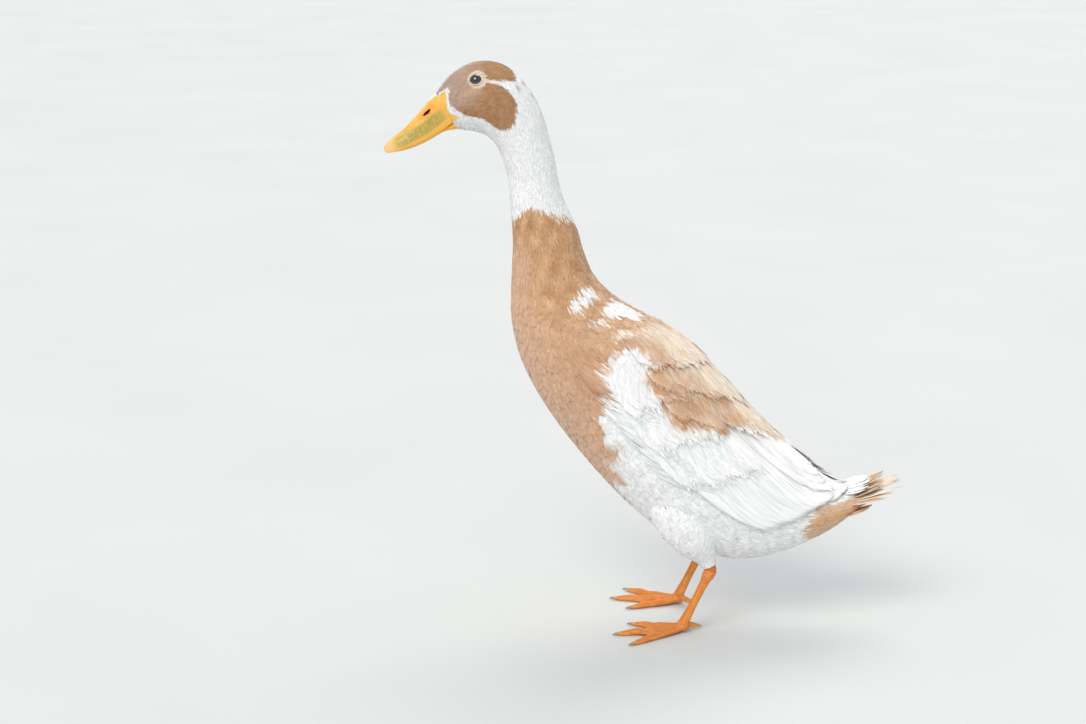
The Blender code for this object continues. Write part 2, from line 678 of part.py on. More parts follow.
def foot(label, side, ankle, down, skin_look, horn_look):
    """Three toes joined by webs, a short hind toe, flat soles on the floor, and a claw on each."""
    lines = [(name, *toe_line(ankle, side, *sizes)) for name, *sizes in TOES]
    heel = ankle + down * (GAP / MM)
    pieces = [limb(f"toe_{name}", skin_look, rows, sides=8) for name, _, rows in lines]
    pieces += [web(skin_look, lines[inner][2], lines[inner + 1][2]) for inner in (0, 1)]
    hind = [Vector((ankle.x + back, ankle.y - side * inward, high)) for back, inward, high, _ in HIND_TOE]
    hind_rows = [(*point, radius, radius) for point, (*_, radius) in zip(hind, HIND_TOE, strict=True)]
    pieces.append(limb("toe_hind", skin_look, hind_rows, sides=8))
    sole = ball(f"foot_{label}", skin_look, heel + Vector(KNUCKLE_PLACE), KNUCKLE_HALF, sides=14)
    joined(sole, pieces)
    trim(sole, Vector((0, 0, 0)), Vector((0, 0, -1)))
    trim(sole, heel * MM, -down)
    for name, heading, rows in lines:
        tip = Vector(rows[-1][:3])
        claw(f"claw_{label}_{name}", horn_look, tip, heading, CLAW_LENGTH, CLAW_RADIUS)
    claw(f"claw_{label}_hind", horn_look, hind[-1], (hind[-1] - hind[-2]).normalized(), *HIND_CLAW)


def claw(name, look, tip, heading, length, radius):
    """A short horn point, bending down a little."""
    rows = []
    for share in (0.0, 0.35, 0.7, 1.0):
        point = tip + heading * (GAP / MM + length * share)
        size = radius * (1 - CLAW_TAPER * share)
        bend = CLAW_BEND * (math.sin(share * math.pi) - share)
        point.z = max(point.z + bend, size + SOLE_PRESS)
        rows.append((*point, size, size * CLAW_NARROW))
    return limb(name, look, rows, sides=6)


def build():
    clear_scene()
    fawn = material("fawn feathers", (0.62, 0.40, 0.24), 0.85)
    white = material("white feathers", (0.88, 0.87, 0.84), 0.85)
    horn = material("yellow bill", (0.78, 0.50, 0.12), 0.45)
    pale_horn = material("pale nail", (0.82, 0.68, 0.44), 0.4)
    dark = material("dark eye", (0.02, 0.022, 0.035), 0.08)
    orange = material("orange skin", (0.80, 0.34, 0.07), 0.55)
    claw_horn = material("claw horn", (0.55, 0.42, 0.26), 0.5)

    head(fawn)
    for label, side in BOTH_SIDES:
        ball(f"eye_{label}", dark, eye_centre(side), (EYE_RADIUS,) * 3)
    bill(horn, pale_horn)
    flesh("neck_upper", white, NECK_START, NECK_MIDDLE)
    flesh("neck_lower", fawn, NECK_MIDDLE, TORSO_START)
    flesh("torso", fawn, TORSO_START, RUMP_START)
    flesh("rump", white, RUMP_START, TAIL_START)
    tail(fawn)
    for label, side in BOTH_SIDES:
        wing(f"wing_{label}", white, side)
        leg(label, side, white, orange, claw_horn)


build()
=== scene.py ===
import math

import bmesh
import bpy
import numpy as np
from mathutils import Matrix, Vector
from mathutils.kdtree import KDTree


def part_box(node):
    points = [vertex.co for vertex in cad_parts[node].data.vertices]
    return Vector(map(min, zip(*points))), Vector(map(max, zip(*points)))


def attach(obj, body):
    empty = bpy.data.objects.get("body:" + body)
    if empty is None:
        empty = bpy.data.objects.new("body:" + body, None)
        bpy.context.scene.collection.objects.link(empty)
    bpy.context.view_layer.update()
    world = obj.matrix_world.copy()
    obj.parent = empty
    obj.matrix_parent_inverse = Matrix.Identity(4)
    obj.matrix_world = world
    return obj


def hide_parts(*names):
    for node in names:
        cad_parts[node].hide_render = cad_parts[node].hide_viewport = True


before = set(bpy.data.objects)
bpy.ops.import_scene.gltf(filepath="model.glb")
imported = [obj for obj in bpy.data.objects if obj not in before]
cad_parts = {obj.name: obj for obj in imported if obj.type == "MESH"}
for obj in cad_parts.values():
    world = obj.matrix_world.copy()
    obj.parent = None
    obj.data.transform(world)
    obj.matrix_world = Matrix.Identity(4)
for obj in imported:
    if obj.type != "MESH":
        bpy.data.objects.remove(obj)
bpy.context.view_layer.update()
MM = 0.001


# The studio: a wide pale floor, soft light from two distant lamps with wide discs, and the camera.
# The camera stands where the bird is seen as in the photograph, a little above its head,
# looking fifteen degrees down.
camera_data = bpy.data.cameras.new("camera")
camera_data.sensor_width = 36
camera_data.lens = 2000 / 1086 * 36
camera = bpy.data.objects.new("camera", camera_data)
camera.location = (-0.0954, -1.777, 0.728)
camera.rotation_euler = (math.radians(75), 0, 0)
bpy.context.scene.collection.objects.link(camera)
bpy.context.scene.camera = camera
bpy.context.scene.view_settings.view_transform = "Standard"


def screen(red, green, blue):
    """A colour as a screen shows it, 0 to 255, turned into amounts of light."""
    return tuple(
        value / 255 / 12.92 if value <= 10 else ((value / 255 + 0.055) / 1.055) ** 2.4
        for value in (red, green, blue)
    )


def new_material(name, roughness, **sockets):
    """A material with its shader's plain sockets set. Returns the material, its tree and shader."""
    made = bpy.data.materials.new(name)
    made.use_nodes = True
    shader = made.node_tree.nodes["Principled BSDF"]
    shader.inputs["Roughness"].default_value = roughness
    for socket, value in sockets.items():
        shader.inputs[socket.replace("_", " ")].default_value = value
    return made, made.node_tree, shader


def finished(name, mesh, *materials):
    """The mesh as a piece of the scene."""
    piece = bpy.data.objects.new(name, mesh)
    bpy.context.scene.collection.objects.link(piece)
    for material in materials:
        mesh.materials.append(material)
    return piece


def floor_material():
    made, tree, shader = new_material("floor", 0.7)
    place = tree.nodes.new("ShaderNodeTexCoord")
    grain = tree.nodes.new("ShaderNodeTexNoise")
    grain.inputs["Scale"].default_value = 3
    tones = tree.nodes.new("ShaderNodeValToRGB")
    tones.color_ramp.elements[0].color = (*screen(196, 198, 196), 1)
    tones.color_ramp.elements[1].color = (*screen(206, 207, 205), 1)
    tree.links.new(place.outputs["Object"], grain.inputs["Vector"])
    tree.links.new(grain.outputs["Fac"], tones.inputs["Fac"])
    tree.links.new(tones.outputs["Color"], shader.inputs["Base Color"])
    return made


bm = bmesh.new()
bmesh.ops.create_grid(bm, x_segments=4, y_segments=4, size=60)
floor_mesh = bpy.data.meshes.new("floor")
bm.to_mesh(floor_mesh)
bm.free()
floor = finished("floor", floor_mesh, floor_material())

world = bpy.data.worlds.new("studio")
world.use_nodes = True
world.node_tree.nodes["Background"].inputs["Color"].default_value = (0.84, 0.88, 0.93, 1)
world.node_tree.nodes["Background"].inputs["Strength"].default_value = 0.85
bpy.context.scene.world = world

# Each lamp: where it stands, strength, the angle that its soft disc fills, colour
for name, place, strength, disc, colour in (
    ("key_lamp", (-0.9, -1.5, 1.9), 1.7, 32, (1.0, 0.97, 0.93)),
    ("back_lamp", (0.5, 1.5, 2.4), 1.1, 36, (1.0, 0.98, 0.95)),
):
    light = bpy.data.lights.new(name, "SUN")
    light.energy = strength
    light.angle = math.radians(disc)
    light.color = colour
    lamp = bpy.data.objects.new(name, light)
    lamp.location = place
    lamp.rotation_euler = (-Vector(place)).to_track_quat("-Z", "Y").to_euler()
    bpy.context.scene.collection.objects.link(lamp)


# The body under the feathers: one skin from the face to the root of the tail, with a low swelling
# where each folded wing lies, and the two thighs fused to it. It is soft skin over flesh, and it
# lies inside the solids by the depth of the coat.
# Each section is a ring across the body: its point on the back (x, z), its point on the belly
# (x, z), its half width, in mm, and how far its widest level shifts towards the back.
SECTIONS = np.array((
    (-190.0, 500.0, -173.0, 467.0, 12.5, -0.10),
    (-178.5, 514.5, -166.0, 466.4, 17.5, -0.14),
    (-163.0, 524.6, -158.0, 465.4, 21.5, -0.14),
    (-146.5, 527.6, -150.5, 463.4, 24.0, -0.12),
    (-130.0, 524.0, -144.0, 460.2, 24.8, -0.08),
    (-115.0, 512.8, -138.6, 454.6, 24.4, -0.04),
    (-103.8, 497.2, -134.4, 447.4, 23.4, 0.0),
    (-96.6, 482.4, -131.0, 438.8, 22.4, 0.0),
    (-90.6, 463.0, -127.8, 427.5, 21.6, 0.0),
    (-85.6, 443.0, -126.0, 415.0, 21.0, 0.0),
    (-81.4, 421.0, -125.0, 401.0, 21.0, 0.0),
    (-75.6, 401.0, -123.6, 385.0, 21.8, 0.0),
    (-65.5, 379.0, -122.6, 364.5, 24.6, 0.0),
    (-58.0, 354.0, -123.4, 342.0, 29.4, 0.0),
    (-48.0, 332.0, -124.4, 318.0, 36.0, 0.0),
    (-30.0, 313.5, -123.6, 291.0, 44.0, 0.0),
    (-4.4, 298.0, -116.0, 258.0, 52.0, 0.02),
    (22.4, 281.5, -100.0, 224.0, 57.5, 0.03),
    (47.0, 259.5, -77.5, 189.5, 60.5, 0.03),
    (70.0, 234.5, -49.5, 154.0, 61.5, 0.02),
    (92.0, 210.5, -19.5, 121.0, 61.0, 0.0),
    (113.0, 189.5, 10.5, 94.5, 59.0, -0.02),
    (132.5, 170.5, 43.0, 75.0, 55.0, -0.04),
    (150.0, 154.5, 78.0, 64.5, 49.0, -0.05),
    (165.0, 143.0, 112.0, 67.0, 42.0, -0.05),
    (178.0, 135.5, 145.0, 78.5, 35.0, -0.04),
    (190.0, 131.5, 172.0, 92.5, 28.0, 0.0),
    (201.0, 129.5, 191.0, 107.0, 20.5, 0.0),
    (209.0, 128.5, 204.5, 118.5, 13.0, 0.0),
))
# Depth of the coat, in mm, at some of the sections
COAT_DEPTH = ((0, 0.35), (6, 0.4), (10, 0.45), (14, 0.55), (18, 0.7), (24, 0.65), (28, 0.5))
# The folded arm and hand: section, its upper and lower angle in degrees, thickness in mm
WING_ARM = np.array((
    (15.4, 42.0, 58.0, 0.0), (15.8, 26.0, 74.0, 1.2), (16.2, 18.0, 82.0, 2.0),
    (16.9, 11.0, 92.0, 2.7), (17.8, 9.0, 95.0, 2.9), (19.4, 9.0, 94.0, 2.4),
    (21.2, 9.0, 88.0, 2.0), (22.8, 10.0, 74.0, 1.8), (24.2, 12.0, 58.0, 1.4),
    (25.2, 18.0, 46.0, 0.0),
))
# The thigh: x, share of the leg's distance from the middle, z, radii fore-and-aft and across
LEG_Y = 35.0
THIGH = np.array((
    (6.0, 0.55, 152.0, 8.0, 8.0), (17.0, 0.85, 136.0, 21.0, 19.0), (33.0, 1.02, 112.0, 25.0, 19.0),
    (45.0, 1.05, 92.0, 20.0, 15.5), (52.5, 1.02, 79.0, 13.0, 10.5), (56.0, 1.0, 71.5, 8.2, 7.2),
    (58.2, 1.0, 66.5, 6.4, 5.8),
))


def smooth_rows(rows, at):
    """A smooth curve through the rows, read at places counted in rows."""
    at = np.asarray(at, float)
    held = np.clip(at, 0, len(rows) - 1)
    low = np.clip(np.floor(held).astype(int), 0, len(rows) - 2)
    share = (held - low)[..., None]
    before, start, end, after = (
        rows[np.clip(low + step, 0, len(rows) - 1)] for step in (-1, 0, 1, 2)
    )
    return 0.5 * (
        2 * start + (end - before) * share + (2 * before - 5 * start + 4 * end - after) * share**2
        + (3 * start - before - 3 * end + after) * share**3
    ) + (at - held)[..., None] * (end - start)


def flesh(at, angle):
    """Points of the bird's form: angle 0 is the back, and it grows towards the bird's right."""
    back_x, back_z, belly_x, belly_z, half_width, shift = np.moveaxis(smooth_rows(SECTIONS, at), -1, 0)
    level = np.cos(angle)
    return MM * np.stack((
        (back_x + belly_x) / 2 + (back_x - belly_x) / 2 * level,
        half_width * np.sin(angle) * (1 + shift * level),
        (back_z + belly_z) / 2 + (back_z - belly_z) / 2 * level,
    ), -1)


def across_and_along(form, at, angle):
    """How a form's point moves with its section and with its angle."""
    reach = 0.02
    along = (form(at + reach, angle) - form(at - reach, angle)) / (2 * reach)
    around = (form(at, angle + reach) - form(at, angle - reach)) / (2 * reach)
    return along, around


def unit(vectors):
    return vectors / np.maximum(np.linalg.norm(vectors, axis=-1, keepdims=True), 1e-12)


def outward(form, at, angle):
    along, around = across_and_along(form, at, angle)
    return unit(np.cross(along, around))


def arm_swelling(at, angle):
    """Height of the folded arm above the flesh, in mm."""
    degrees = np.abs(np.degrees(angle))
    top, low, thick = (np.interp(at, WING_ARM[:, 0], WING_ARM[:, column]) for column in (1, 2, 3))
    share = np.clip((degrees - top) / (low - top), 0, 1)
    return thick * (1 - np.abs(2 * share - 1) ** 3)


def winged(at, angle):
    """The form with the folded arms on it."""
    lift = arm_swelling(at, angle)[..., None] * MM
    return flesh(at, angle) + outward(flesh, at, angle) * lift


def thigh_form(side):
    """The form of one thigh: its place along the limb in rows, and an angle round it."""

    def form(at, angle):
        x, away, z, long, wide = np.moveaxis(smooth_rows(THIGH, at), -1, 0)
        before, after = smooth_rows(THIGH, at - 0.05), smooth_rows(THIGH, at + 0.05)
        slope = np.stack((after[..., 0] - before[..., 0], after[..., 2] - before[..., 2]), -1)
        slope = unit(slope)
        fore = long * np.cos(angle)
        return MM * np.stack((
            x - fore * slope[..., 1], side * LEG_Y * away + wide * np.sin(angle), z + fore * slope[..., 0],
        ), -1)

    return form


def coat_depth(at):
    places, depths = zip(*COAT_DEPTH)
    return np.interp(at, places, depths)


def tube(form, start, end, rows, columns, inset):
    """A closed skin over a form from one section to another, sunk by inset(at) in mm."""
    bm = bmesh.new()
    bmesh.ops.create_grid(bm, x_segments=columns, y_segments=rows, size=1)
    plan = np.array([vertex.co for vertex in bm.verts])
    at = start + (end - start) * (plan[:, 1] + 1) / 2
    angle = math.pi * plan[:, 0]
    points = form(at, angle) - outward(form, at, angle) * inset(at)[:, None] * MM
    for vertex, point in zip(bm.verts, points):
        vertex.co = point
    bm.verts.ensure_lookup_table()
    ends = [
        [vertex for vertex, height in zip(bm.verts, plan[:, 1]) if abs(height - end_height) < 0.001]
        for end_height in (-1, 1)
    ]
    rims = [[edge for edge in bm.edges if set(edge.verts) <= set(ring)] for ring in ends]
    for rim in rims:
        bmesh.ops.contextual_create(bm, geom=rim)
    bmesh.ops.remove_doubles(bm, verts=bm.verts, dist=0.01 * MM)
    bm.normal_update()
    bmesh.ops.recalc_face_normals(bm, faces=bm.faces)
    mesh = bpy.data.meshes.new("tube")
    bm.to_mesh(mesh)
    bm.free()
    return mesh, at, angle, points


def fused(mesh, others):
    """The mesh with the others fused to it."""
    whole = finished("whole", mesh)
    for other in others:
        part = finished("part", other)
        union = whole.modifiers.new("union", "BOOLEAN")
        union.operation = "UNION"
        union.solver = "EXACT"
        union.object = part
        graph = bpy.context.evaluated_depsgraph_get()
        result = bpy.data.meshes.new_from_object(whole.evaluated_get(graph))
        whole.modifiers.clear()
        whole.data = result
        bpy.data.objects.remove(part)
    result = whole.data
    bpy.data.objects.remove(whole)
    return result


# Markings, as (section, degrees from the back) on either side. The face mask runs from the bill
# over the crown and down behind the cheek. A white wedge opens behind the eye.
FACE = (
    (-1.0, -30), (4.3, -30), (4.3, 0), (4.6, 13), (4.85, 31), (4.5, 40), (4.0, 52), (3.5, 57),
    (3.5, 60), (4.1, 58), (4.7, 60), (5.3, 64), (5.6, 76), (5.8, 90), (5.5, 108), (4.9, 122),
    (4.4, 126), (3.9, 124), (3.2, 121), (2.1, 119), (1.5, 114), (1.2, 106), (0.8, 94), (0.6, 82),
    (0.7, 64), (0.85, 54), (0.8, 44), (0.2, 30), (-1.0, 24),
)
# Where the coloured lower neck begins: degrees, section
NECK_EDGE = (
    (0, 12.1), (9, 11.8), (20, 11.6), (45, 11.4), (58, 11.2), (71, 10.95), (88, 10.7), (104, 10.5),
    (128, 10.6), (154, 10.9), (180, 11.0),
)
# Where the colour of the breast ends below and white begins
BELLY_EDGE = ((0, 40.0), (92, 40.0), (96, 17.6), (110, 18.2), (130, 18.9), (150, 19.6), (180, 20.2))
NECK_STREAKS = (
    (14.0, 40), (14.4, 36), (14.7, 32), (14.8, 38), (14.6, 44), (14.75, 56), (14.95, 70), (14.9, 78),
    (14.65, 76), (14.4, 58), (14.2, 48),
)
MANTLE_WHITE = (
    (15.05, 15), (15.4, 8), (16.0, 7), (16.05, 21), (15.9, 31), (15.7, 33), (15.6, 44), (15.5, 50),
    (15.1, 46), (15.0, 29),
)
SHOULDER_STREAK = ((15.35, 54), (15.6, 56), (15.62, 66), (15.5, 73), (15.35, 67))
SHOULDER_ARC = ((16.1, 66), (16.05, 58), (16.15, 46), (16.4, 42), (16.32, 49), (16.3, 56), (16.25, 64))
WING_BOW = (
    (16.7, 80), (16.5, 71), (16.6, 61), (16.8, 56), (17.1, 56), (17.35, 58), (17.45, 64), (17.6, 71),
    (18.0, 71), (18.4, 73), (18.9, 75), (19.2, 70), (19.5, 60), (19.95, 52), (20.1, 38), (20.6, 30),
    (21.6, 14), (22.5, -30), (29.0, -30), (29.0, 60), (25.0, 74), (23.6, 116), (17.9, 118),
    (17.75, 95), (17.3, 92), (17.0, 90),
)
PALE_SCAPULARS = (
    (16.4, 40), (16.5, 20), (17.0, 4), (17.2, -30), (22.5, -30), (21.6, 14), (20.4, 30), (19.3, 30),
    (18.7, 36), (17.9, 44), (17.4, 40),
)
UNDER_TAIL = ((24.3, 62), (27.0, 40), (29.0, 40), (29.0, 150), (25.6, 150), (24.6, 110))
WHITE = np.array((0.87, 0.87, 0.86))
FAWN = np.array(screen(205, 163, 122))
DEEP_FAWN = np.array(screen(186, 137, 94))
PINK_FAWN = np.array(screen(214, 174, 146))
CREAM = np.array(screen(234, 220, 200))
CHEEK_BROWN = np.array(screen(164, 121, 83))
CROWN_MAUVE = np.array(screen(186, 158, 144))


def within(at, degrees, outline, soft):
    """1 inside an outline, 0 outside, with a soft border that wide, in sections."""
    place = np.stack((at, degrees / 30), -1)
    corners = np.array(outline, float) / (1, 30)
    nearest = np.full(at.shape, 9.0)
    odd = np.zeros(at.shape, bool)
    for first, second in zip(corners, np.roll(corners, -1, axis=0)):
        edge = second - first
        share = np.clip(((place - first) @ edge) / (edge @ edge), 0, 1)
        off = np.linalg.norm(place - first - share[..., None] * edge, axis=-1)
        nearest = np.minimum(nearest, off)
        if edge[1]:
            crossing = (first[1] > place[..., 1]) != (second[1] > place[..., 1])
            where = first[0] + (place[..., 1] - first[1]) / edge[1] * edge[0]
            odd ^= crossing & (place[..., 0] < where)
    return np.clip(np.where(odd, nearest, -nearest) / soft + 0.5, 0, 1)


def swell(x, y, size, seed):
    """A smooth random field from about -1 to 1, its bumps about that size across."""
    draw = np.random.default_rng(seed)
    total = np.zeros(np.shape(x))
    for _ in range(7):
        turn, phase = draw.uniform(0, math.tau, 2)
        pitch = draw.uniform(0.6, 1.5) * math.tau / size
        total += np.sin((x * math.cos(turn) + y * math.sin(turn)) * pitch + phase)
    return total / 3.5


def blend(first, second, share):
    share = np.asarray(share, float)[..., None]
    return first * (1 - share) + second * share


def rising(values, low, high):
    """0 below low, 1 above high, and a smooth climb between them."""
    share = np.clip((values - low) / (high - low), 0, 1)
    return share * share * (3 - 2 * share)


def plumage_at(at, angle):
    """The colour of the plumage at a section and angle."""
    side = np.where(angle < 0, -1.0, 1.0)
    degrees = np.abs((np.degrees(angle) + 180) % 360 - 180)
    far = at + 11.7 * (side > 0)
    level = degrees / 30
    ragged = swell(far, level, 0.22, 3)
    loose = swell(far, level, 0.8, 4)
    reach = np.where(at < 7, 0.05, 0.10)
    at_moved = at + reach * ragged + 0.06 * loose * (at > 7)
    degrees_moved = degrees + 30 * reach * swell(far, level, 0.2, 5)

    fawn = blend(FAWN, DEEP_FAWN, 0.5 + 0.5 * swell(far, level, 1.1, 6))
    fawn = blend(fawn, PINK_FAWN, 0.75 * rising(degrees, 95, 150) * rising(at, 11.5, 12.6))
    fawn = blend(fawn, PINK_FAWN, 0.3 * rising(at, 14.4, 15.4))
    edge = np.interp(degrees, *zip(*NECK_EDGE)) + 0.16 * ragged + 0.08 * loose
    coloured = rising(at, edge - 0.05, edge + 0.10)
    belly = np.interp(degrees, *zip(*BELLY_EDGE)) + 0.3 * loose
    coloured *= 1 - rising(at, belly - 0.35, belly + 0.35)
    colour = blend(WHITE, fawn, coloured)
    streaks = rising(swell(far * 0.9, level * 7, 1.0, 9) + 0.5 * swell(far, level * 3, 1.0, 10), -0.5, 0.7)
    soft_fawn = rising(at, 15.4, 16.4) * (1 - rising(at, 20.5, 21.5)) * (1 - rising(degrees, 50, 70))
    colour = blend(colour, CREAM, 0.35 * soft_fawn * streaks)
    for outline, soft, tint, share in (
        (PALE_SCAPULARS, 0.3, CREAM, 0.55 + 0.4 * streaks),
        (NECK_STREAKS, 0.08, WHITE, 0.9),
        (MANTLE_WHITE, 0.08, WHITE, 1.0),
        (SHOULDER_STREAK, 0.10, WHITE, 0.8),
        (SHOULDER_ARC, 0.10, CREAM, 0.8),
        (WING_BOW, 0.12, WHITE, 1.0),
        (UNDER_TAIL, 0.3, FAWN, 0.9),
    ):
        colour = blend(colour, tint, share * within(at_moved, degrees_moved, outline, soft))

    face = within(at_moved, degrees_moved, FACE, 0.10)
    brown = blend(CHEEK_BROWN, DEEP_FAWN, 0.35 + 0.35 * swell(far, level, 0.7, 8))
    mauve = rising(3.4 - at, 0.0, 2.0) * (1 - rising(degrees, 84, 112))
    brown = blend(brown, CROWN_MAUVE, 0.8 * mauve)
    # Paler along the top of the forehead: partly pale feathers running back from the bill, partly a painted
    # highlight where light falls on the top of the head.
    pale = (1 - rising(degrees, 4, 22)) * (1 - rising(at, 1.0, 3.4))
    brown = blend(brown, WHITE, 0.55 * pale)
    streak = 1 - rising(np.hypot((at - 3.3) / 1.0, (degrees - 57.5) / 4.5), 0.4, 1.0)
    under_eye = 1 - rising(np.hypot((at - 2.2) / 1.1, (degrees - 76) / 9), 0.3, 1.0)
    brown = blend(brown, CREAM, 0.75 * streak)
    brown = blend(brown, PINK_FAWN, 0.45 * under_eye)
    colour = blend(colour, brown, face)
    for spot_at, spot_degrees in ((5.2, 16), (5.9, 15), (6.3, 6), (5.0, 40)):
        near = 1 - rising(np.hypot((at - spot_at) / 0.22, (degrees - spot_degrees) / 7), 0.2, 1.0)
        colour = blend(colour, CHEEK_BROWN, 0.6 * near * (side < 0))
    return np.clip(colour, 0, 1)


def plumage_nodes(made, tree, shader, barbs, fringe, quill, depth):
    """Colour and relief of feathers, from the markings and each blade's own map."""
    nodes, link = tree.nodes, tree.links.new
    markings = nodes.new("ShaderNodeVertexColor")
    markings.layer_name = "plumage"
    blade = nodes.new("ShaderNodeGroup")
    blade.node_tree = barb_group
    blade.inputs["Barbs"].default_value = barbs
    blade.inputs["Fringe"].default_value = fringe
    blade.inputs["Quill"].default_value = quill
    link(markings.outputs["Color"], blade.inputs["Colour"])
    link(blade.outputs["Colour"], shader.inputs["Base Color"])
    link(blade.outputs["Roughness"], shader.inputs["Roughness"])
    bump = nodes.new("ShaderNodeBump")
    bump.inputs["Strength"].default_value = 0.6
    bump.inputs["Distance"].default_value = depth * MM
    link(blade.outputs["Height"], bump.inputs["Height"])
    link(bump.outputs["Normal"], shader.inputs["Normal"])
    return made


def wired(tree, kind, *inputs, **settings):
    """A node with its settings and its inputs, each a number or another node's output."""
    node = tree.nodes.new("ShaderNode" + kind)
    for name, value in settings.items():
        setattr(node, name, value)
    for number, value in enumerate(inputs):
        if value is None:
            continue
        if isinstance(value, bpy.types.NodeSocket):
            tree.links.new(value, node.inputs[number])
        else:
            node.inputs[number].default_value = value
    return node


def maths(tree, operation, *values):
    return wired(tree, "Math", *values, operation=operation).outputs[0]


def ranged(tree, value, low, high, start=0.0, end=1.0):
    """The value's place between low and high, eased, as a number from start to end."""
    return wired(tree, "MapRange", value, low, high, start, end, interpolation_type="SMOOTHSTEP").outputs[0]


def tinted(tree, share, first, second):
    node = tree.nodes.new("ShaderNodeMix")
    node.data_type = "RGBA"
    for number, value in ((0, share), (6, first), (7, second)):
        if isinstance(value, bpy.types.NodeSocket):
            tree.links.new(value, node.inputs[number])
        else:
            node.inputs[number].default_value = value
    return node.outputs[2]


# A feather's blade: fine barbs slant outwards from the quill, in bundles of slightly different
# tone, with a paler fringe. Its map runs across (0 to 1) and along (0 root, 1 tip).
barb_group = bpy.data.node_groups.new("feather_blade", "ShaderNodeTree")
for name, kind, way in (
    ("Colour", "NodeSocketColor", "INPUT"), ("Barbs", "NodeSocketFloat", "INPUT"),
    ("Fringe", "NodeSocketFloat", "INPUT"), ("Quill", "NodeSocketFloat", "INPUT"),
    ("Colour", "NodeSocketColor", "OUTPUT"), ("Roughness", "NodeSocketFloat", "OUTPUT"),
    ("Height", "NodeSocketFloat", "OUTPUT"),
):
    barb_group.interface.new_socket(name, in_out=way, socket_type=kind)
given = barb_group.nodes.new("NodeGroupInput")
taken = barb_group.nodes.new("NodeGroupOutput")
blade_map = wired(barb_group, "UVMap", uv_map="blade")
tone = wired(barb_group, "Attribute", attribute_name="tone")
parts = wired(barb_group, "SeparateXYZ", blade_map.outputs[0])
off_quill = maths(barb_group, "ABSOLUTE", maths(barb_group, "SUBTRACT", parts.outputs[0], 0.5))
slanted = maths(barb_group, "SUBTRACT", parts.outputs[1], maths(barb_group, "MULTIPLY", off_quill, 0.55))
counted = maths(barb_group, "MULTIPLY", slanted, given.outputs["Barbs"])
wave = maths(barb_group, "SINE", maths(barb_group, "MULTIPLY", counted, math.tau))
bundle_place = wired(
    barb_group, "CombineXYZ", maths(barb_group, "MULTIPLY", counted, 0.34),
    maths(barb_group, "MULTIPLY", off_quill, 1.6), maths(barb_group, "MULTIPLY", tone.outputs["Fac"], 37),
)
bundles = wired(barb_group, "TexNoise", bundle_place.outputs[0])
bundles.inputs["Scale"].default_value = 1
bundles.inputs["Detail"].default_value = 2
spread = ranged(barb_group, bundles.outputs["Fac"], 0.28, 0.72, 0.88, 1.10)
# Darker towards each feather's root: partly its grey down, partly painted shadow of the feathers that lie
# over it.
root_shadow_and_down = ranged(barb_group, parts.outputs[1], 0.0, 0.45, 0.86, 1.0)
each = ranged(barb_group, tone.outputs["Fac"], 0.0, 1.0, 0.94, 1.05)
shade = maths(barb_group, "MULTIPLY", maths(barb_group, "MULTIPLY", spread, root_shadow_and_down), each)
shaded = wired(barb_group, "VectorMath", given.outputs["Colour"], operation="SCALE")
barb_group.links.new(shade, shaded.inputs["Scale"])
edge_near = maths(
    barb_group, "MAXIMUM",
    ranged(barb_group, off_quill, 0.34, 0.5),
    ranged(barb_group, parts.outputs[1], 0.8, 1.0),
)
fringed = tinted(
    barb_group, maths(barb_group, "MULTIPLY", edge_near, given.outputs["Fringe"]),
    shaded.outputs[0], (0.86, 0.82, 0.76, 1),
)
quill_near = maths(
    barb_group, "MULTIPLY", ranged(barb_group, off_quill, 0.012, 0.034, 1.0, 0.0), given.outputs["Quill"],
)
quill_tint = tinted(barb_group, 0.5, given.outputs["Colour"], (*screen(176, 140, 98), 1))
finish_tint = tinted(barb_group, quill_near, fringed, quill_tint)
barb_group.links.new(finish_tint, taken.inputs["Colour"])
bundle_sheen = ranged(barb_group, bundles.outputs["Fac"], 0.3, 0.7, 0.62, 0.78)
barb_group.links.new(bundle_sheen, taken.inputs["Roughness"])
relief = maths(barb_group, "ADD", maths(barb_group, "MULTIPLY", wave, 0.3), bundles.outputs["Fac"])
relief = maths(barb_group, "ADD", relief, maths(barb_group, "MULTIPLY", quill_near, 1.5))
barb_group.links.new(relief, taken.inputs["Height"])


def skin_material():
    made, tree, shader = new_material("feather_bed", 0.8, Sheen_Weight=0.2)
    markings = wired(tree, "VertexColor", layer_name="plumage")
    place = tree.nodes.new("ShaderNodeTexCoord")
    down = wired(tree, "TexNoise", place.outputs["Object"])
    down.inputs["Scale"].default_value = 420
    down.inputs["Detail"].default_value = 4
    shade = ranged(tree, down.outputs["Fac"], 0.3, 0.7, 0.72, 0.96)
    shaded = wired(tree, "VectorMath", markings.outputs["Color"], operation="SCALE")
    tree.links.new(shade, shaded.inputs["Scale"])
    tree.links.new(shaded.outputs[0], shader.inputs["Base Color"])
    bump = tree.nodes.new("ShaderNodeBump")
    bump.inputs["Strength"].default_value = 0.5
    bump.inputs["Distance"].default_value = 0.4 * MM
    tree.links.new(down.outputs["Fac"], bump.inputs["Height"])
    tree.links.new(bump.outputs["Normal"], shader.inputs["Normal"])
    return made


def coloured(mesh, colours):
    """Gives each of the mesh's points its plumage colour."""
    layer = mesh.attributes.new("plumage", "FLOAT_COLOR", "POINT")
    layer.data.foreach_set("color", np.c_[colours, np.ones(len(colours))].ravel())


eye_centres = {}
eye_outwards = {}
for label, side in (("left", -1), ("right", 1)):
    low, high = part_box(f"eye_{label}")
    centre = (low + high) / 2
    grid_at, grid_degrees = np.meshgrid(np.linspace(1.5, 3.5, 81), np.linspace(40, 72, 65))
    grid_angle = side * np.radians(grid_degrees)
    direction = outward(flesh, grid_at, grid_angle)
    off = flesh(grid_at, grid_angle) - 3.9 * MM * direction - np.array(centre)
    best = np.unravel_index(np.linalg.norm(off, axis=-1).argmin(), grid_at.shape)
    eye_centres[side] = np.array(centre)
    eye_outwards[side] = direction[best]


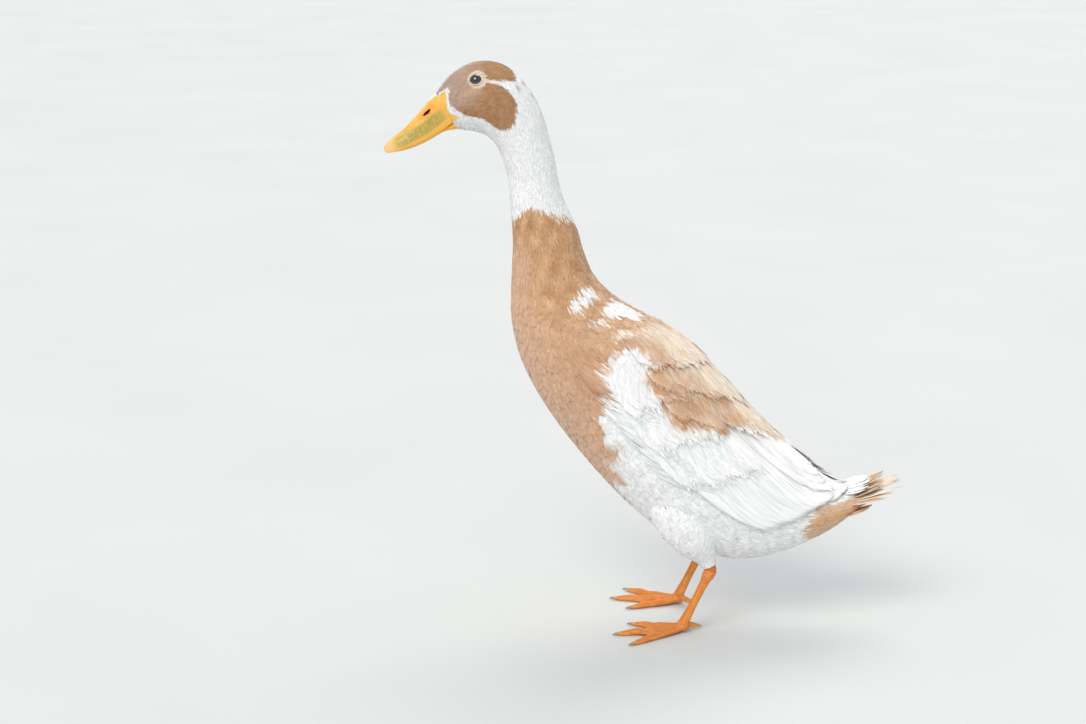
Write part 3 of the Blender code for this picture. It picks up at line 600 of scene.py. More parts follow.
def from_eye(points, angle):
    """Distance from the middle of the eye's opening, in mm."""
    side = np.where(angle < 0, -1, 1)
    centre = np.where(side[:, None] < 0, eye_centres[-1] + eye_outwards[-1] * 4 * MM,
                      eye_centres[1] + eye_outwards[1] * 4 * MM)
    return np.linalg.norm(points - centre, axis=-1) / MM


def eye_ring(colours, off):
    """Pale feathers round the eye."""
    return blend(colours, CREAM, 0.85 * (1 - rising(off, 7.4, 9.6)))


body_mesh, body_at, body_angle, body_points = tube(
    winged, -0.05, 28.0, 190, 80, lambda at: coat_depth(at) + 0.7 * (1 - rising(at, 0.2, 0.9))
)
thighs = [
    tube(thigh_form(side), 0.0, 5.96, 26, 32, lambda at: np.interp(at, (0, 5, 6), (2.2, 1.6, 0.9)))[0]
    for side in (-1, 1)
]
skin_mesh = fused(body_mesh, thighs)
tree_of_points = KDTree(len(body_points))
for number, point in enumerate(body_points):
    tree_of_points.insert(point, number)
tree_of_points.balance()
nearest = [tree_of_points.find(vertex.co)[1] for vertex in skin_mesh.vertices]
skin_colours = plumage_at(body_at[nearest], body_angle[nearest])
coloured(skin_mesh, eye_ring(skin_colours, from_eye(body_points[nearest], body_angle[nearest])))
skin_mesh.shade_smooth()
skin = finished("skin", skin_mesh, skin_material())
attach(skin, "root")
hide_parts("head", "neck_upper", "neck_lower", "torso", "rump", "thigh_left", "thigh_right")


# The coat of small feathers. On the head they are short and silky, on the neck longer, and from
# the breast on they are broad overlapping contour feathers, each a loose fan of fine locks of
# barbs. They grow from the skin and lie back towards the tail.
def step_on(form, at, angle, ahead):
    """The change of section and angle that moves a form's point by that vector."""
    along, around = across_and_along(form, at, angle)
    dot = lambda first, second: (first * second).sum(-1)
    square, girth, skew = dot(along, along), dot(around, around), dot(along, around)
    forward, sideways = dot(ahead, along), dot(ahead, around)
    scale = square * girth - skew**2
    return (forward * girth - sideways * skew) / scale, (sideways * square - forward * skew) / scale


def ahead_of(form, at, angle, length, turn):
    """Where a feather of that length in mm ends, turned by some degrees from the line of the body."""
    along, _ = across_and_along(form, at, angle)
    heading = unit(along)
    sideways = np.cross(heading, outward(form, at, angle))
    turn = np.radians(turn)[:, None]
    reach = (heading * np.cos(turn) + sideways * np.sin(turn)) * (length * MM)[:, None]
    change_at, change_angle = step_on(form, at, angle, reach)
    return at + change_at, angle + change_angle


def blade_shape(columns, rows, thick=False):
    """The plan of a feather: across -1 to 1, along 0 to 1, up 0 or 1, and its faces."""
    bm = bmesh.new()
    bmesh.ops.create_grid(bm, x_segments=columns, y_segments=rows, size=1)
    if thick:
        sheet = bmesh.ops.extrude_face_region(bm, geom=bm.faces[:])
        raised = {item for item in sheet["geom"] if isinstance(item, bmesh.types.BMVert)}
        for vertex in raised:
            vertex.co.z = 1
        bm.normal_update()
        bmesh.ops.recalc_face_normals(bm, faces=bm.faces)
    plan = np.array([vertex.co for vertex in bm.verts])
    faces = [[vertex.index for vertex in face.verts] for face in bm.faces]
    bm.free()
    return plan[:, 0], (plan[:, 1] + 1) / 2, plan[:, 2], faces


def tuft_shape():
    """A closed, slender tuft: a three-sided rod drawn to a point at each end."""
    bm = bmesh.new()
    bmesh.ops.create_cone(bm, cap_ends=True, segments=3, radius1=1, radius2=0.62, depth=1)
    ends = [face for face in bm.faces if len(face.verts) == 3]
    for centre in bmesh.ops.poke(bm, faces=ends)["verts"]:
        centre.co.z = math.copysign(1, centre.co.z)
    bm.normal_update()
    bmesh.ops.recalc_face_normals(bm, faces=bm.faces)
    plan = np.array([vertex.co for vertex in bm.verts])
    faces = [[vertex.index for vertex in reversed(face.verts)] for face in bm.faces]
    bm.free()
    low = plan[:, 1].min()
    along = np.interp(plan[:, 2], (-1, -0.5, 0.5, 1), (0, 0.26, 0.68, 1))
    up = np.where(np.abs(plan[:, 2]) > 0.9, 0.2, (plan[:, 1] - low) / (1 - low))
    return plan[:, 0] / 0.866, along, up, faces


def beside(form, root, tip, share, reach):
    """The place at a share of the way from root to tip on a form, and that many mm to its side."""
    at = root[0] + (tip[0] - root[0]) * share
    angle = root[1] + (tip[1] - root[1]) * share
    step = 0.03
    ahead = form(at + (tip[0] - root[0]) * step, angle + (tip[1] - root[1]) * step) - form(at, angle)
    sideways = unit(np.cross(ahead, outward(form, at, angle)))
    change_at, change_angle = step_on(form, at, angle, sideways * (reach * MM)[..., None])
    return at + change_at, angle + change_angle


def lay(form, shape, root, tip, half_width, lifts, thick, profile=None, camber=0.0, roll=0.0, bluntness=0.0,
        height=None):
    """Places feathers on a form, each from its root to its tip. Sizes in mm, one for each feather."""
    across, along, up = (values[None, :] for values in shape[:3])
    column = lambda values: np.broadcast_to(np.asarray(values, float), root[0].shape)[:, None]
    share = along * (1 - bluntness * across**2 * along**2)
    wide = across * (profile(along) if profile else 1.0)
    reach = column(half_width) * wide
    ends = [(column(end[0]), column(end[1])) for end in (root, tip)]
    at, angle = beside(form, *ends, share, reach)
    if height:
        lift = height(along)
    else:
        lift = column(lifts[0]) + column(lifts[1] - lifts[0]) * np.clip(along, 0, 1) ** 0.6
        lift = lift + column(camber) * (1 - wide**2) + column(roll) * reach
    lift = lift + column(thick) * up
    direction = outward(form, at, angle)
    return form(at, angle) + direction * lift[..., None] * MM, direction


def fanned(form, root, tip, half_width, number, begin, draw, short=None):
    """Locks of barbs fanned over the outer part of each feather.

    Returns their roots and tips, where along the feather each starts and ends, and how far aside.
    With short, each lock is that share of the feather long, and they lie all along it.
    """
    count = len(root[0])
    spread = np.linspace(-1, 1, number) + draw.normal(0, 0.5 / number, (count, number))
    spread = np.take_along_axis(spread, draw.permuted(np.tile(np.arange(number), (count, 1)), axis=1), axis=1)
    start = draw.uniform(*begin, (count, number))
    finish = 1 - 0.30 * spread**2 + draw.normal(0, 0.05, (count, number))
    if short:
        inner = draw.random((count, number)) > 0.45
        nearer = begin[0] + 0.15 + (0.85 - begin[0]) * draw.random((count, number))
        finish = np.where(inner, finish * nearer, finish)
        start = finish - short * draw.uniform(0.7, 1.3, (count, number))
    ends = [(end[0][:, None], end[1][:, None]) for end in (root, tip)]
    wide = np.asarray(half_width, float).reshape(-1, 1) * spread
    roots = beside(form, *ends, start, wide * (0.9 if short else 0.75))
    tips = beside(form, *ends, finish, wide)
    return [
        [part.ravel() for part in values] for values in (roots, tips)
    ] + [values.ravel()[:, None] for values in (start, finish, spread)]


def feather_mesh(name, shape, laid, colours, tones, patches, softness):
    """One mesh of many feathers. patches gives each one's corner and size on the bake map.

    softness is how far the shading follows the body below rather than each small blade.
    """
    points, directions = laid
    count, corners = points.shape[:2]
    faces = shape[3]
    mesh = bpy.data.meshes.new(name)
    mesh.vertices.add(count * corners)
    mesh.vertices.foreach_set("co", points.ravel())
    flat = np.array([corner for face in faces for corner in face])
    lengths = np.array([len(face) for face in faces])
    loops = (flat[None, :] + np.arange(count)[:, None] * corners).ravel()
    starts = np.concatenate(([0], np.cumsum(np.tile(lengths, count))[:-1]))
    mesh.loops.add(len(loops))
    mesh.loops.foreach_set("vertex_index", loops.astype(np.int32))
    mesh.polygons.add(len(starts))
    mesh.polygons.foreach_set("loop_start", starts.astype(np.int32))
    mesh.update(calc_edges=True)
    blade = np.stack(((shape[0] + 1) / 2, shape[1]), -1)[None]
    baked = patches[:, None, :2] + blade * patches[:, None, 2:]
    for layer, places in (("OFBake", baked), ("blade", np.broadcast_to(blade, baked.shape))):
        mesh.uv_layers.new(name=layer).data.foreach_set("uv", places.reshape(-1, 2)[loops].ravel())
    coloured(mesh, np.broadcast_to(colours.reshape(count, -1, 3), (count, corners, 3)).reshape(-1, 3))
    mesh.attributes.new("tone", "FLOAT", "POINT").data.foreach_set("value", np.repeat(tones, corners))
    mesh.shade_smooth()
    own = np.empty(count * corners * 3)
    mesh.vertex_normals.foreach_get("vector", own)
    away = directions.reshape(-1, 3)
    soft = unit(away * softness + own.reshape(-1, 3) * (1 - softness))[loops]
    flat_normals = np.empty(len(starts) * 3)
    mesh.polygons.foreach_get("normal", flat_normals)
    flat_normals = np.repeat(flat_normals.reshape(-1, 3), np.tile(lengths, count), axis=0)
    under = (flat_normals * away[loops]).sum(-1) < 0.02
    mesh.normals_split_custom_set(np.where(under[:, None], flat_normals, soft).tolist())
    return mesh


def skin_patches(at, angle, start=-1.0, end=29.0):
    """A patch for each tuft at its root's place on the skin, unrolled."""
    across = 0.003 + 0.991 * ((angle / math.tau + 0.5) % 1.0)
    along = 0.003 + 0.991 * np.clip((at - start) / (end - start), 0, 1)
    return np.stack((across, along, np.full_like(at, 0.003), np.full_like(at, 0.003)), -1)


def scattered(form, start, end, row, column, draw):
    """Roots of feathers in staggered rows. row and column give their spacing in mm at a section."""
    places, angles = [], []
    ring = np.linspace(-math.pi, math.pi, 181)
    at, number = start, 0
    while at < end:
        along, around = across_and_along(form, np.full(ring.shape, at), ring)
        along, around = (np.linalg.norm(change, axis=-1) for change in (along, around))
        walked = np.concatenate(([0], np.cumsum((around[1:] + around[:-1]) / 2 * np.diff(ring))))
        count = max(6, round(walked[-1] / (column(at) * MM)))
        spots = (np.arange(count) + 0.5 * (number % 2) + draw.normal(0, 0.22, count)) / count % 1
        angle = np.interp(spots * walked[-1], walked, ring)
        step = row(at) * MM / along.max()
        kept = draw.random(count) < np.interp(angle, ring, along) / along.max()
        angle = angle[kept]
        places.append(at + step * draw.normal(0, 0.28, len(angle)))
        angles.append(angle)
        at += step
        number += 1
    return np.concatenate(places), np.concatenate(angles)


def sized(table):
    """Reads a size in mm at a section from a short table."""
    places, sizes = zip(*table)
    return lambda at: np.interp(at, places, sizes)


# Where the bill's horn ends and feathers begin: degrees from the culmen, section
FEATHER_LINE = (
    (0, -0.45), (30, -0.30), (36, 0.0), (43, 0.50), (52, 0.55), (60, 0.52), (73, 0.38), (86, 0.22),
    (95, 0.24), (104, 0.42), (111, 0.80), (118, 0.98), (125, 0.62), (134, 0.25), (150, 0.05), (180, -0.05),
)


def feathered(at, angle):
    """Whether a place lies behind the line where the bill's horn ends."""
    degrees = np.abs((np.degrees(angle) + 180) % 360 - 180)
    return at > np.interp(degrees, *zip(*FEATHER_LINE))


def tuft_coat(name, start, end, row, column, length, half_width, thick, lifts, seed, look):
    """A coat of closed tufts over part of the body."""
    draw = np.random.default_rng(seed)
    at, angle = scattered(winged, start, end, row, column, draw)
    keep = feathered(at, angle)
    off = from_eye(winged(at, angle), angle)
    keep &= off > 6.6
    at, angle, off = at[keep], angle[keep], off[keep]
    short = np.clip((off - 3.0) / 8.0, 0.45, 1.0)
    long = length(at) * draw.uniform(0.75, 1.2, len(at)) * short
    tip = ahead_of(winged, at, angle, long, draw.normal(0, 9, len(at)))
    shape = tuft_shape()
    wide = half_width(at) * draw.uniform(0.75, 1.25, len(at))
    depth = coat_depth(at)
    raised = lifts * draw.uniform(0.3, 1.0, len(at))
    laid = lay(winged, shape, (at, angle), tip, wide, (-0.1 - depth, raised), thick)
    seen = (at + (tip[0] - at) * 0.6, angle + (tip[1] - angle) * 0.6)
    colours = plumage_at(*seen)
    colours = eye_ring(colours, off)
    colours = colours * draw.normal(1.0, 0.04, len(at))[:, None]
    tones = draw.random(len(at))
    mesh = feather_mesh(name, shape, laid, np.clip(colours, 0, 1), tones, skin_patches(at, angle), 0.75)
    piece = finished(name, mesh, look)
    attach(piece, "root")
    return piece


tuft_material = plumage_nodes(*new_material("silky_tufts", 0.7, Sheen_Weight=0.25, Sheen_Roughness=0.4),
                              barbs=3, fringe=0.0, quill=0.0, depth=0.05)
tuft_coat("head_coat", -0.10, 6.8, sized(((0, 0.95), (7, 1.3))), sized(((0, 0.8), (7, 1.05))),
          sized(((0, 2.8), (3, 4.4), (7, 6.8))), sized(((0, 0.46), (7, 0.66))), 0.14, 0.15, 11, tuft_material)
tuft_coat("upper_neck_coat", 6.6, 10.4, sized(((6.6, 1.3), (10.4, 1.7))),
          sized(((6.6, 0.95), (10.4, 1.2))), sized(((6.6, 6.4), (10.4, 9.0))),
          sized(((6.6, 0.68), (10.4, 0.95))), 0.14, 0.14, 12, tuft_material)
tuft_coat("lower_neck_coat", 10.2, 14.5, sized(((10.2, 1.7), (14.4, 2.6))),
          sized(((10.2, 1.2), (14.4, 1.7))), sized(((10.2, 9.0), (14.4, 13))),
          sized(((10.2, 0.95), (14.4, 1.4))), 0.17, 0.2, 13, tuft_material)


def under_wing(at, angle):
    """Whether a place is hidden by the folded wing."""
    degrees = np.abs((np.degrees(angle) + 180) % 360 - 180)
    top = np.interp(at, (17.0, 25.5), (10, 20))
    low = np.interp(at, (17.0, 19, 21.5, 23, 25.5), (80, 80, 76, 62, 36))
    return (at > 17.7) & (at < 25.4) & (degrees > top) & (degrees < low)


def locks_on(form, root, tip, half_width, lifts, camber, roll, per_feather, begin, width, draw, paint,
             short=None):
    """Fans of fine locks on feathers: the points, directions, colours and roots of all of them."""
    count = len(root[0])
    roots, tips, start, finish, spread = fanned(form, root, tip, half_width, per_feather, begin, draw, short)
    feather = np.repeat(np.arange(count), per_feather)
    half, low, high = (np.broadcast_to(value, (count,))[feather][:, None] for value in (half_width, *lifts))
    loose = draw.uniform(-0.08, 0.14, (len(feather), 1))

    def height(along):
        share = np.clip(start + (finish - start) * along, 0, 1.1)
        raised = low + (high - low) * share**0.6 + camber * (1 - spread**2) + roll * half * spread
        return raised + loose * along - (0.5 if short else 0.35) * (1 - along) ** 4

    wide = np.broadcast_to(width, (count,))[feather] * draw.uniform(0.75, 1.3, len(feather))
    laid = lay(form, tuft_shape(), roots, tips, wide, None, 0.17, height=height)
    colours = paint(roots[0] + (tips[0] - roots[0]) * 0.75, roots[1] + (tips[1] - roots[1]) * 0.75)
    each = draw.normal(1.0, 0.03, count)[feather] * draw.normal(1.0, 0.025, len(feather))
    return laid, np.clip(colours * each[:, None], 0, 1), roots


def lock_coat(name, form, root, tip, half_width, per_feather, seed, look, paint, patches, size=1.0):
    """A coat of contour feathers, each a fan of fine locks."""
    draw = np.random.default_rng(seed)
    low = -0.1 - coat_depth(root[0])
    laid, colours, roots = locks_on(form, root, tip, half_width, (low, 0.15), 0.2, 0.0, per_feather,
                                    (0.05, 0.6),
                                    half_width * 2.9 * size / per_feather, draw, paint)
    mesh = feather_mesh(name, tuft_shape(), laid, colours, draw.random(len(colours)), patches(*roots), 0.9)
    piece = finished(name, mesh, look)
    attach(piece, "root")


def contour_coat(name, start, end, lower, seed, look):
    """Contour feathers over the upper or the lower half of the body."""
    draw = np.random.default_rng(seed)
    row = sized(((13.4, 3.6), (15, 4.6), (19, 5.6), (25, 5.4), (28, 4.2)))
    column = sized(((13.4, 3.8), (15, 4.8), (19, 6.2), (25, 5.8), (28, 4.2)))
    at, angle = scattered(winged, start, end, row, column, draw)
    keep = ~under_wing(at, angle) & ((np.cos(angle) < 0.05) == lower)
    at, angle = at[keep], angle[keep]
    long = sized(((13.4, 14), (15, 17), (19, 21), (25, 21), (28, 15)))(at) * draw.uniform(0.88, 1.12, len(at))
    tip = ahead_of(winged, at, angle, long, draw.normal(0, 5, len(at)))
    wide = sized(((13.4, 3.0), (15, 4.2), (19, 5.6), (25, 5.2), (28, 4.0)))(at)
    lock_coat(name, winged, (at, angle), tip, wide, 12, seed, look,
              plumage_at, skin_patches)


contour_coat("breast_coat", 13.9, 19.3, True, 22, tuft_material)
contour_coat("belly_coat", 19.3, 27.6, True, 23, tuft_material)
contour_coat("back_coat", 13.9, 27.6, False, 21, tuft_material)


def thigh_coat(label, side, look):
    """Short contour feathers down one thigh, where it stands clear of the belly."""
    draw = np.random.default_rng(30 + side)
    form = thigh_form(side)
    at, angle = scattered(form, 1.0, 5.75, sized(((0, 4.2), (4, 2.6), (6, 1.6))),
                          sized(((0, 4.2), (4, 2.4), (6, 1.6))),
                          draw)
    spots = form(at, angle)
    body_near = np.array([tree_of_points.find(spot)[1] for spot in spots])
    away = outward(winged, body_at[body_near], body_angle[body_near])
    above = ((spots - body_points[body_near]) * away).sum(-1)
    keep = above > -4 * MM
    at, angle = at[keep], angle[keep]
    long = sized(((0, 14), (4, 9), (6, 5)))(at) * draw.uniform(0.85, 1.15, len(at))
    tip = ahead_of(form, at, angle, long, draw.normal(0, 7, len(at)))
    tip = (np.minimum(tip[0], 6.12), tip[1])
    wide = sized(((0, 4.2), (4, 2.4), (6, 1.2)))(at)
    lock_coat(f"thigh_coat_{label}", form, (at, angle), tip, wide, 9, 40 + side, look,
              lambda at, angle: np.broadcast_to(WHITE, (len(at), 3)),
              lambda at, angle: skin_patches(at, angle, -6.0 if side < 0 else -14.0, 34.0), 0.9)


for label, side in (("left", -1), ("right", 1)):
    thigh_coat(label, side, tuft_material)


# The folded wings. From below upwards: pointed primaries, broad secondaries, three ranks of
# coverts, long tertials and three ranks of scapulars. Each is a stiff quill with a curved vane on
# either side, rooted in the arm, and each lies over the one below it.
# Each rank: name, root and tip of its lowest feather and of its highest, each a section and an
# angle in degrees, their number, half width in mm, lift in mm at root and tip, roundness.
WING_RANKS = (
    ("primary", (20.6, 60), (25.2, 43), (20.8, 36), (25.9, 17), 8, 6.0, (0.8, 2.2), 0.15),
    ("secondary", (17.9, 90), (23.0, 88), (18.2, 46), (24.8, 40), 12, 8.5, (0.6, 3.3), 0.6),
    ("tertial", (19.0, 40), (24.6, 30), (18.9, 14), (22.4, 7), 5, 9.5, (1.0, 4.8), 0.45),
    ("greater_covert", (17.4, 91), (20.3, 95), (17.5, 50), (21.4, 54), 11, 8.5, (0.2, 3.7), 0.8),
    ("median_covert", (16.9, 87), (19.1, 93), (17.0, 50), (19.7, 53), 10, 8.5, (-0.6, 4.5), 1.0),
    ("lesser_covert", (16.4, 82), (18.1, 89), (16.5, 48), (18.5, 52), 9, 8.5, (-1.5, 5.0), 1.0),
    ("long_scapular", (17.3, 56), (18.9, 66), (17.8, 10), (21.6, 9), 8, 11.0, (0.6, 5.2), 0.8),
    ("middle_scapular", (16.7, 52), (18.1, 60), (16.9, 8), (19.9, 7), 9, 10.5, (-0.4, 5.6), 1.0),
    ("short_scapular", (16.1, 50), (17.4, 57), (16.2, 8), (18.4, 6), 10, 9.5, (-1.5, 5.7), 1.0),
)
# Ranks whose vanes are soft: locks for each feather, and where along it the first ones start
SOFT_RANKS = {
    "greater_covert": (70, 0.30), "median_covert": (80, 0.2), "lesser_covert": (70, 0.15),
    "long_scapular": (150, 0.1), "middle_scapular": (120, 0.1), "short_scapular": (90, 0.1),
    "tertial": (50, 0.55),
}
OLIVE = np.array(screen(126, 118, 84))


def wing_piece(label, side, look):
    draw = np.random.default_rng(50 + side)
    shape = blade_shape(8, 18, thick=True)
    across, along = shape[0], shape[1]
    points, directions, colours, count = [], [], [], 0
    locks = []
    for name, first_root, first_tip, last_root, last_tip, number, half_width, lifts, roundness in WING_RANKS:
        share = np.linspace(0, 1, number)[:, None]
        inner = rising(share[:, 0], 0.6, 1.0) if "scapular" in name or name == "tertial" else 0 * share[:, 0]
        lifts = (lifts[0] - 0.8 * inner, lifts[1] * (1 - 0.55 * inner))
        root = np.array(first_root) + (np.array(last_root) - first_root) * share
        tip = np.array(first_tip) + (np.array(last_tip) - first_tip) * share
        tip[:, 0] += draw.normal(0, 0.05, number)
        tip[:, 1] += draw.normal(0, 0.8, number)
        root[:, 1], tip[:, 1] = (side * np.radians(values[:, 1]) for values in (root, tip))
        long = np.linalg.norm(flesh(tip[:, 0], tip[:, 1]) - flesh(root[:, 0], root[:, 1]), axis=-1) / MM

        def outline(along, roundness=roundness):
            places = (0, 0.1, 0.3, 0.55, 0.8, 0.92, 1.0)
            near_tip = (0.80 + 0.16 * roundness, 0.55 + 0.35 * roundness, 0.10 + 0.6 * roundness)
            shares = (0.35, 0.6, 0.9, 1.0, *near_tip)
            return np.interp(along, places, shares)

        blunt = (half_width * roundness / long * 1.1)[:, None]
        laid = lay(flesh, shape, (root[:, 0], root[:, 1]), (tip[:, 0], tip[:, 1]), half_width, lifts, 0.35,
                   profile=outline, camber=0.9, roll=-side * 0.085, bluntness=blunt)
        points.append(laid[0])
        directions.append(laid[1])
        if name in SOFT_RANKS:
            per_feather, begin = SOFT_RANKS[name]
            longer = tuple(tip[:, axis] + (tip[:, axis] - root[:, axis]) * 1.6 / long for axis in (0, 1))
            locks.append(locks_on(
                flesh, (root[:, 0], root[:, 1]), longer, half_width * 1.04,
                (lifts[0] + 0.4, lifts[1] + 0.4), 0.9,
                -side * 0.085, per_feather, (begin, 0.8), 0.7, draw, plumage_at, 9 / long.mean(),
            ))
        seen = (root[:, 0] + (tip[:, 0] - root[:, 0]) * 0.78, root[:, 1] + (tip[:, 1] - root[:, 1]) * 0.78)
        plain = np.repeat(plumage_at(*seen)[:, None], len(across), axis=1)
        if name in SOFT_RANKS:
            ends = [(end[:, :1], end[:, 1:]) for end in (root, tip)]
            there = beside(flesh, *ends, np.clip(along, 0.2, 1)[None], half_width * across[None] * 0.9)
            plain = blend(plain, plumage_at(*there), np.full(plain.shape[:2], 0.8))
        if name == "primary":
            edge = rising(np.abs(across), 0.6, 1.0) * rising(along, 0.45, 0.8)
            plain = blend(plain, OLIVE, np.broadcast_to(0.75 * edge, plain.shape[:2]))
        if name in ("tertial", "long_scapular", "middle_scapular"):
            edge = rising(np.abs(across), 0.45, 1.0)
            plain = blend(plain, CREAM, np.broadcast_to(0.35 * edge, plain.shape[:2]))
        colours.append(plain)
        count += number
    columns = 10
    cells = np.arange(count)
    patches = np.stack((
        (cells % columns) / columns + 0.002, (cells // columns) / columns + 0.002,
        np.full(count, 1 / columns - 0.004), np.full(count, 1 / columns - 0.004),
    ), -1)
    laid = (np.concatenate(points), np.concatenate(directions))
    tones = draw.random(count)
    tints = np.clip(np.concatenate(colours), 0, 1)
    mesh = feather_mesh(f"wing_feathers_{label}", shape, laid, tints, tones, patches, 0.25)
    piece = finished(f"wing_feathers_{label}", mesh, look)
    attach(piece, "root")
    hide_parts(f"wing_{label}")
    # Feathers of the flank lie over the lower front edge of the folded wing.
    number = 90
    at = draw.uniform(15.7, 19.6, number)
    angle = side * np.radians(draw.uniform(93, 106, number) + 2 * (at - 17))
    tip = (at + draw.uniform(0.8, 1.3, number), angle - side * np.radians(draw.uniform(9, 17, number)))
    over = np.interp(tip[0], (16.4, 16.9, 17.4, 18.2, 20.8), (0.5, 1.9, 3.6, 5.0, 4.4))
    locks.append(locks_on(
        flesh, (at, angle), tip, 5.5, (-0.6, over), 0.3, 0.0, 34, (0.1, 0.6), 0.7, draw, plumage_at, 0.42,
    ))
    laid = tuple(np.concatenate([lock[0][part] for lock in locks]) for part in (0, 1))
    roots = [np.concatenate([lock[2][part] for lock in locks]) for part in (0, 1)]
    tints = np.concatenate([lock[1] for lock in locks])
    tones = draw.random(len(roots[0]))
    mesh = feather_mesh(f"soft_barbs_{label}", tuft_shape(), laid, tints, tones, skin_patches(*roots), 0.85)
    piece = finished(f"soft_barbs_{label}", mesh, tuft_material)
    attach(piece, "root")


vane_material = plumage_nodes(*new_material("stiff_vanes", 0.6, Sheen_Weight=0.2, Sheen_Roughness=0.4),
                              barbs=55, fringe=0.2, quill=0.3, depth=0.10)
for label, side in (("left", -1), ("right", 1)):
    wing_piece(label, side, vane_material)


# The tail: a short fan of stiff pointed feathers with a loose, worn edge, covered at its root
# above and below by softer coverts. All are rooted in the end of the body.
# Each fan: name, pairs, spread in degrees, length in mm of the outermost and the middle, rise in
# degrees of the outermost and the middle, root (x, z) and half its width, half widths, roundness.
TAIL_FANS = (
    ("under_covert", 4, 17, (34, 43), (16, 20), (176.0, 105.5), 15, (7.5, 8.5), 0.8),
    ("tail_feather", 7, 22, (40, 59), (12, 16.5), (181.0, 118.0), 15, (6.0, 7.0), 0.15),
    ("upper_feather", 3, 14, (36, 44), (20, 25), (184.0, 122.0), 10, (5.5, 6.5), 0.1),
    ("upper_covert", 7, 18, (22, 33), (10, 14), (180.0, 128.0), 13, (4.0, 4.8), 0.7),
)


def tail_piece(look):
    draw = np.random.default_rng(70)
    shape = blade_shape(8, 14, thick=True)
    across, along, up = (values[None, :] for values in shape[:3])
    points, directions, colours, count = [], [], [], 0
    for name, pairs, spread, lengths, rises, root, root_half, half_widths, roundness in TAIL_FANS:
        number = 2 * pairs
        off = np.linspace(-1, 1, number) + draw.normal(0, 0.03, number)
        inward = 1 - np.abs(off)
        turn = np.radians(spread) * off
        rise = np.radians(rises[0] + (rises[1] - rises[0]) * inward + draw.normal(0, 1.2, number))
        long = lengths[0] + (lengths[1] - lengths[0]) * np.sqrt(np.clip(inward, 0, 1))
        long = long * draw.uniform(0.93, 1.03, number)
        start = np.stack((np.full(number, root[0]), root_half * off, root[1] + 2.5 * inward), -1) * MM
        heading = np.stack((np.cos(turn) * np.cos(rise), np.sin(turn) * np.cos(rise), np.sin(rise)), -1)
        up_way = unit(np.stack((-np.sin(rise), np.zeros(number), np.cos(rise)), -1))
        sideways = unit(np.cross(heading, up_way))
        near_tip = (0.72 + 0.24 * roundness, 0.42 + 0.45 * roundness, 0.05 + 0.6 * roundness)
        outline = np.interp(along, (0, 0.2, 0.5, 0.8, 0.92, 1.0), (0.45, 0.8, 1.0, *near_tip))
        wide = (half_widths[0] + (half_widths[1] - half_widths[0]) * inward)[:, None] * outline * across
        notch = draw.normal(0, 0.035, (number, 9))[:, np.round((shape[0] + 1) * 4).astype(int)]
        blunt = 0.12 * roundness + 0.01
        share = along * (1 - blunt * across**2 * along**2) + notch * along**6
        lift = 2.4 * share**2 + 0.7 * (1 - (across * outline) ** 2)
        lift = lift - np.sign(off)[:, None] * 0.09 * wide + 0.35 * up
        point = (start[:, None] + heading[:, None] * (long[:, None] * share)[..., None] * MM
                 + sideways[:, None] * wide[..., None] * MM + up_way[:, None] * lift[..., None] * MM)
        points.append(point)
        directions.append(np.broadcast_to(up_way[:, None], point.shape))
        tints = {"under_covert": FAWN, "upper_feather": DEEP_FAWN, "upper_covert": WHITE * 0.95}
        tint = tints.get(name, CREAM)
        share_fawn = np.zeros(number)
        if name == "tail_feather":
            share_fawn = np.clip(draw.normal(0.35, 0.3, number), 0, 1)
        plain = blend(np.broadcast_to(tint, (number, 3)), FAWN, share_fawn)
        plain = np.repeat(plain[:, None], len(shape[0]), axis=1)
        edge = rising(np.abs(across), 0.3, 1.0) * (0.5 if name != "upper_covert" else 0.0)
        plain = blend(plain, CREAM, np.broadcast_to(edge, plain.shape[:2]))
        colours.append(plain)
        count += number
    columns = 6
    cells = np.arange(count)
    patches = np.stack((
        (cells % columns) / columns + 0.004, (cells // columns) / columns + 0.004,
        np.full(count, 1 / columns - 0.008), np.full(count, 1 / columns - 0.008),
    ), -1)
    laid = (np.concatenate(points), np.concatenate(directions))
    tints = np.clip(np.concatenate(colours), 0, 1)
    mesh = feather_mesh("tail_feathers", shape, laid, tints, draw.random(count), patches, 0.0)
    piece = finished("tail_feathers", mesh, look)
    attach(piece, "root")
    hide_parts("tail")


tail_piece(vane_material)

# The bill: smooth leathery horn over bone. The upper mandible spreads a little towards its tip and
# ends in a hard pale nail. Its sides run back as two lobes under the feathers of the face, and the
# lower mandible lies inside its edge.
# Upper mandible: ridge (x, z), edge of the mouth (x, z) and half width, from the face to the tip
UPPER_BILL = np.array((
    (-190.0, 500.0, -172.6, 477.0, 12.3), (-200.0, 488.6, -185.0, 467.8, 11.7),
    (-209.4, 477.9, -197.0, 460.6, 11.5), (-218.4, 468.4, -208.5, 455.0, 12.0),
    (-226.0, 462.2, -219.5, 451.2, 12.7), (-232.0, 457.4, -228.5, 448.4, 11.4),
    (-235.6, 453.6, -234.0, 447.4, 8.0),
))
BILL_TIP = np.array((-237.4, 0.0, 449.6))
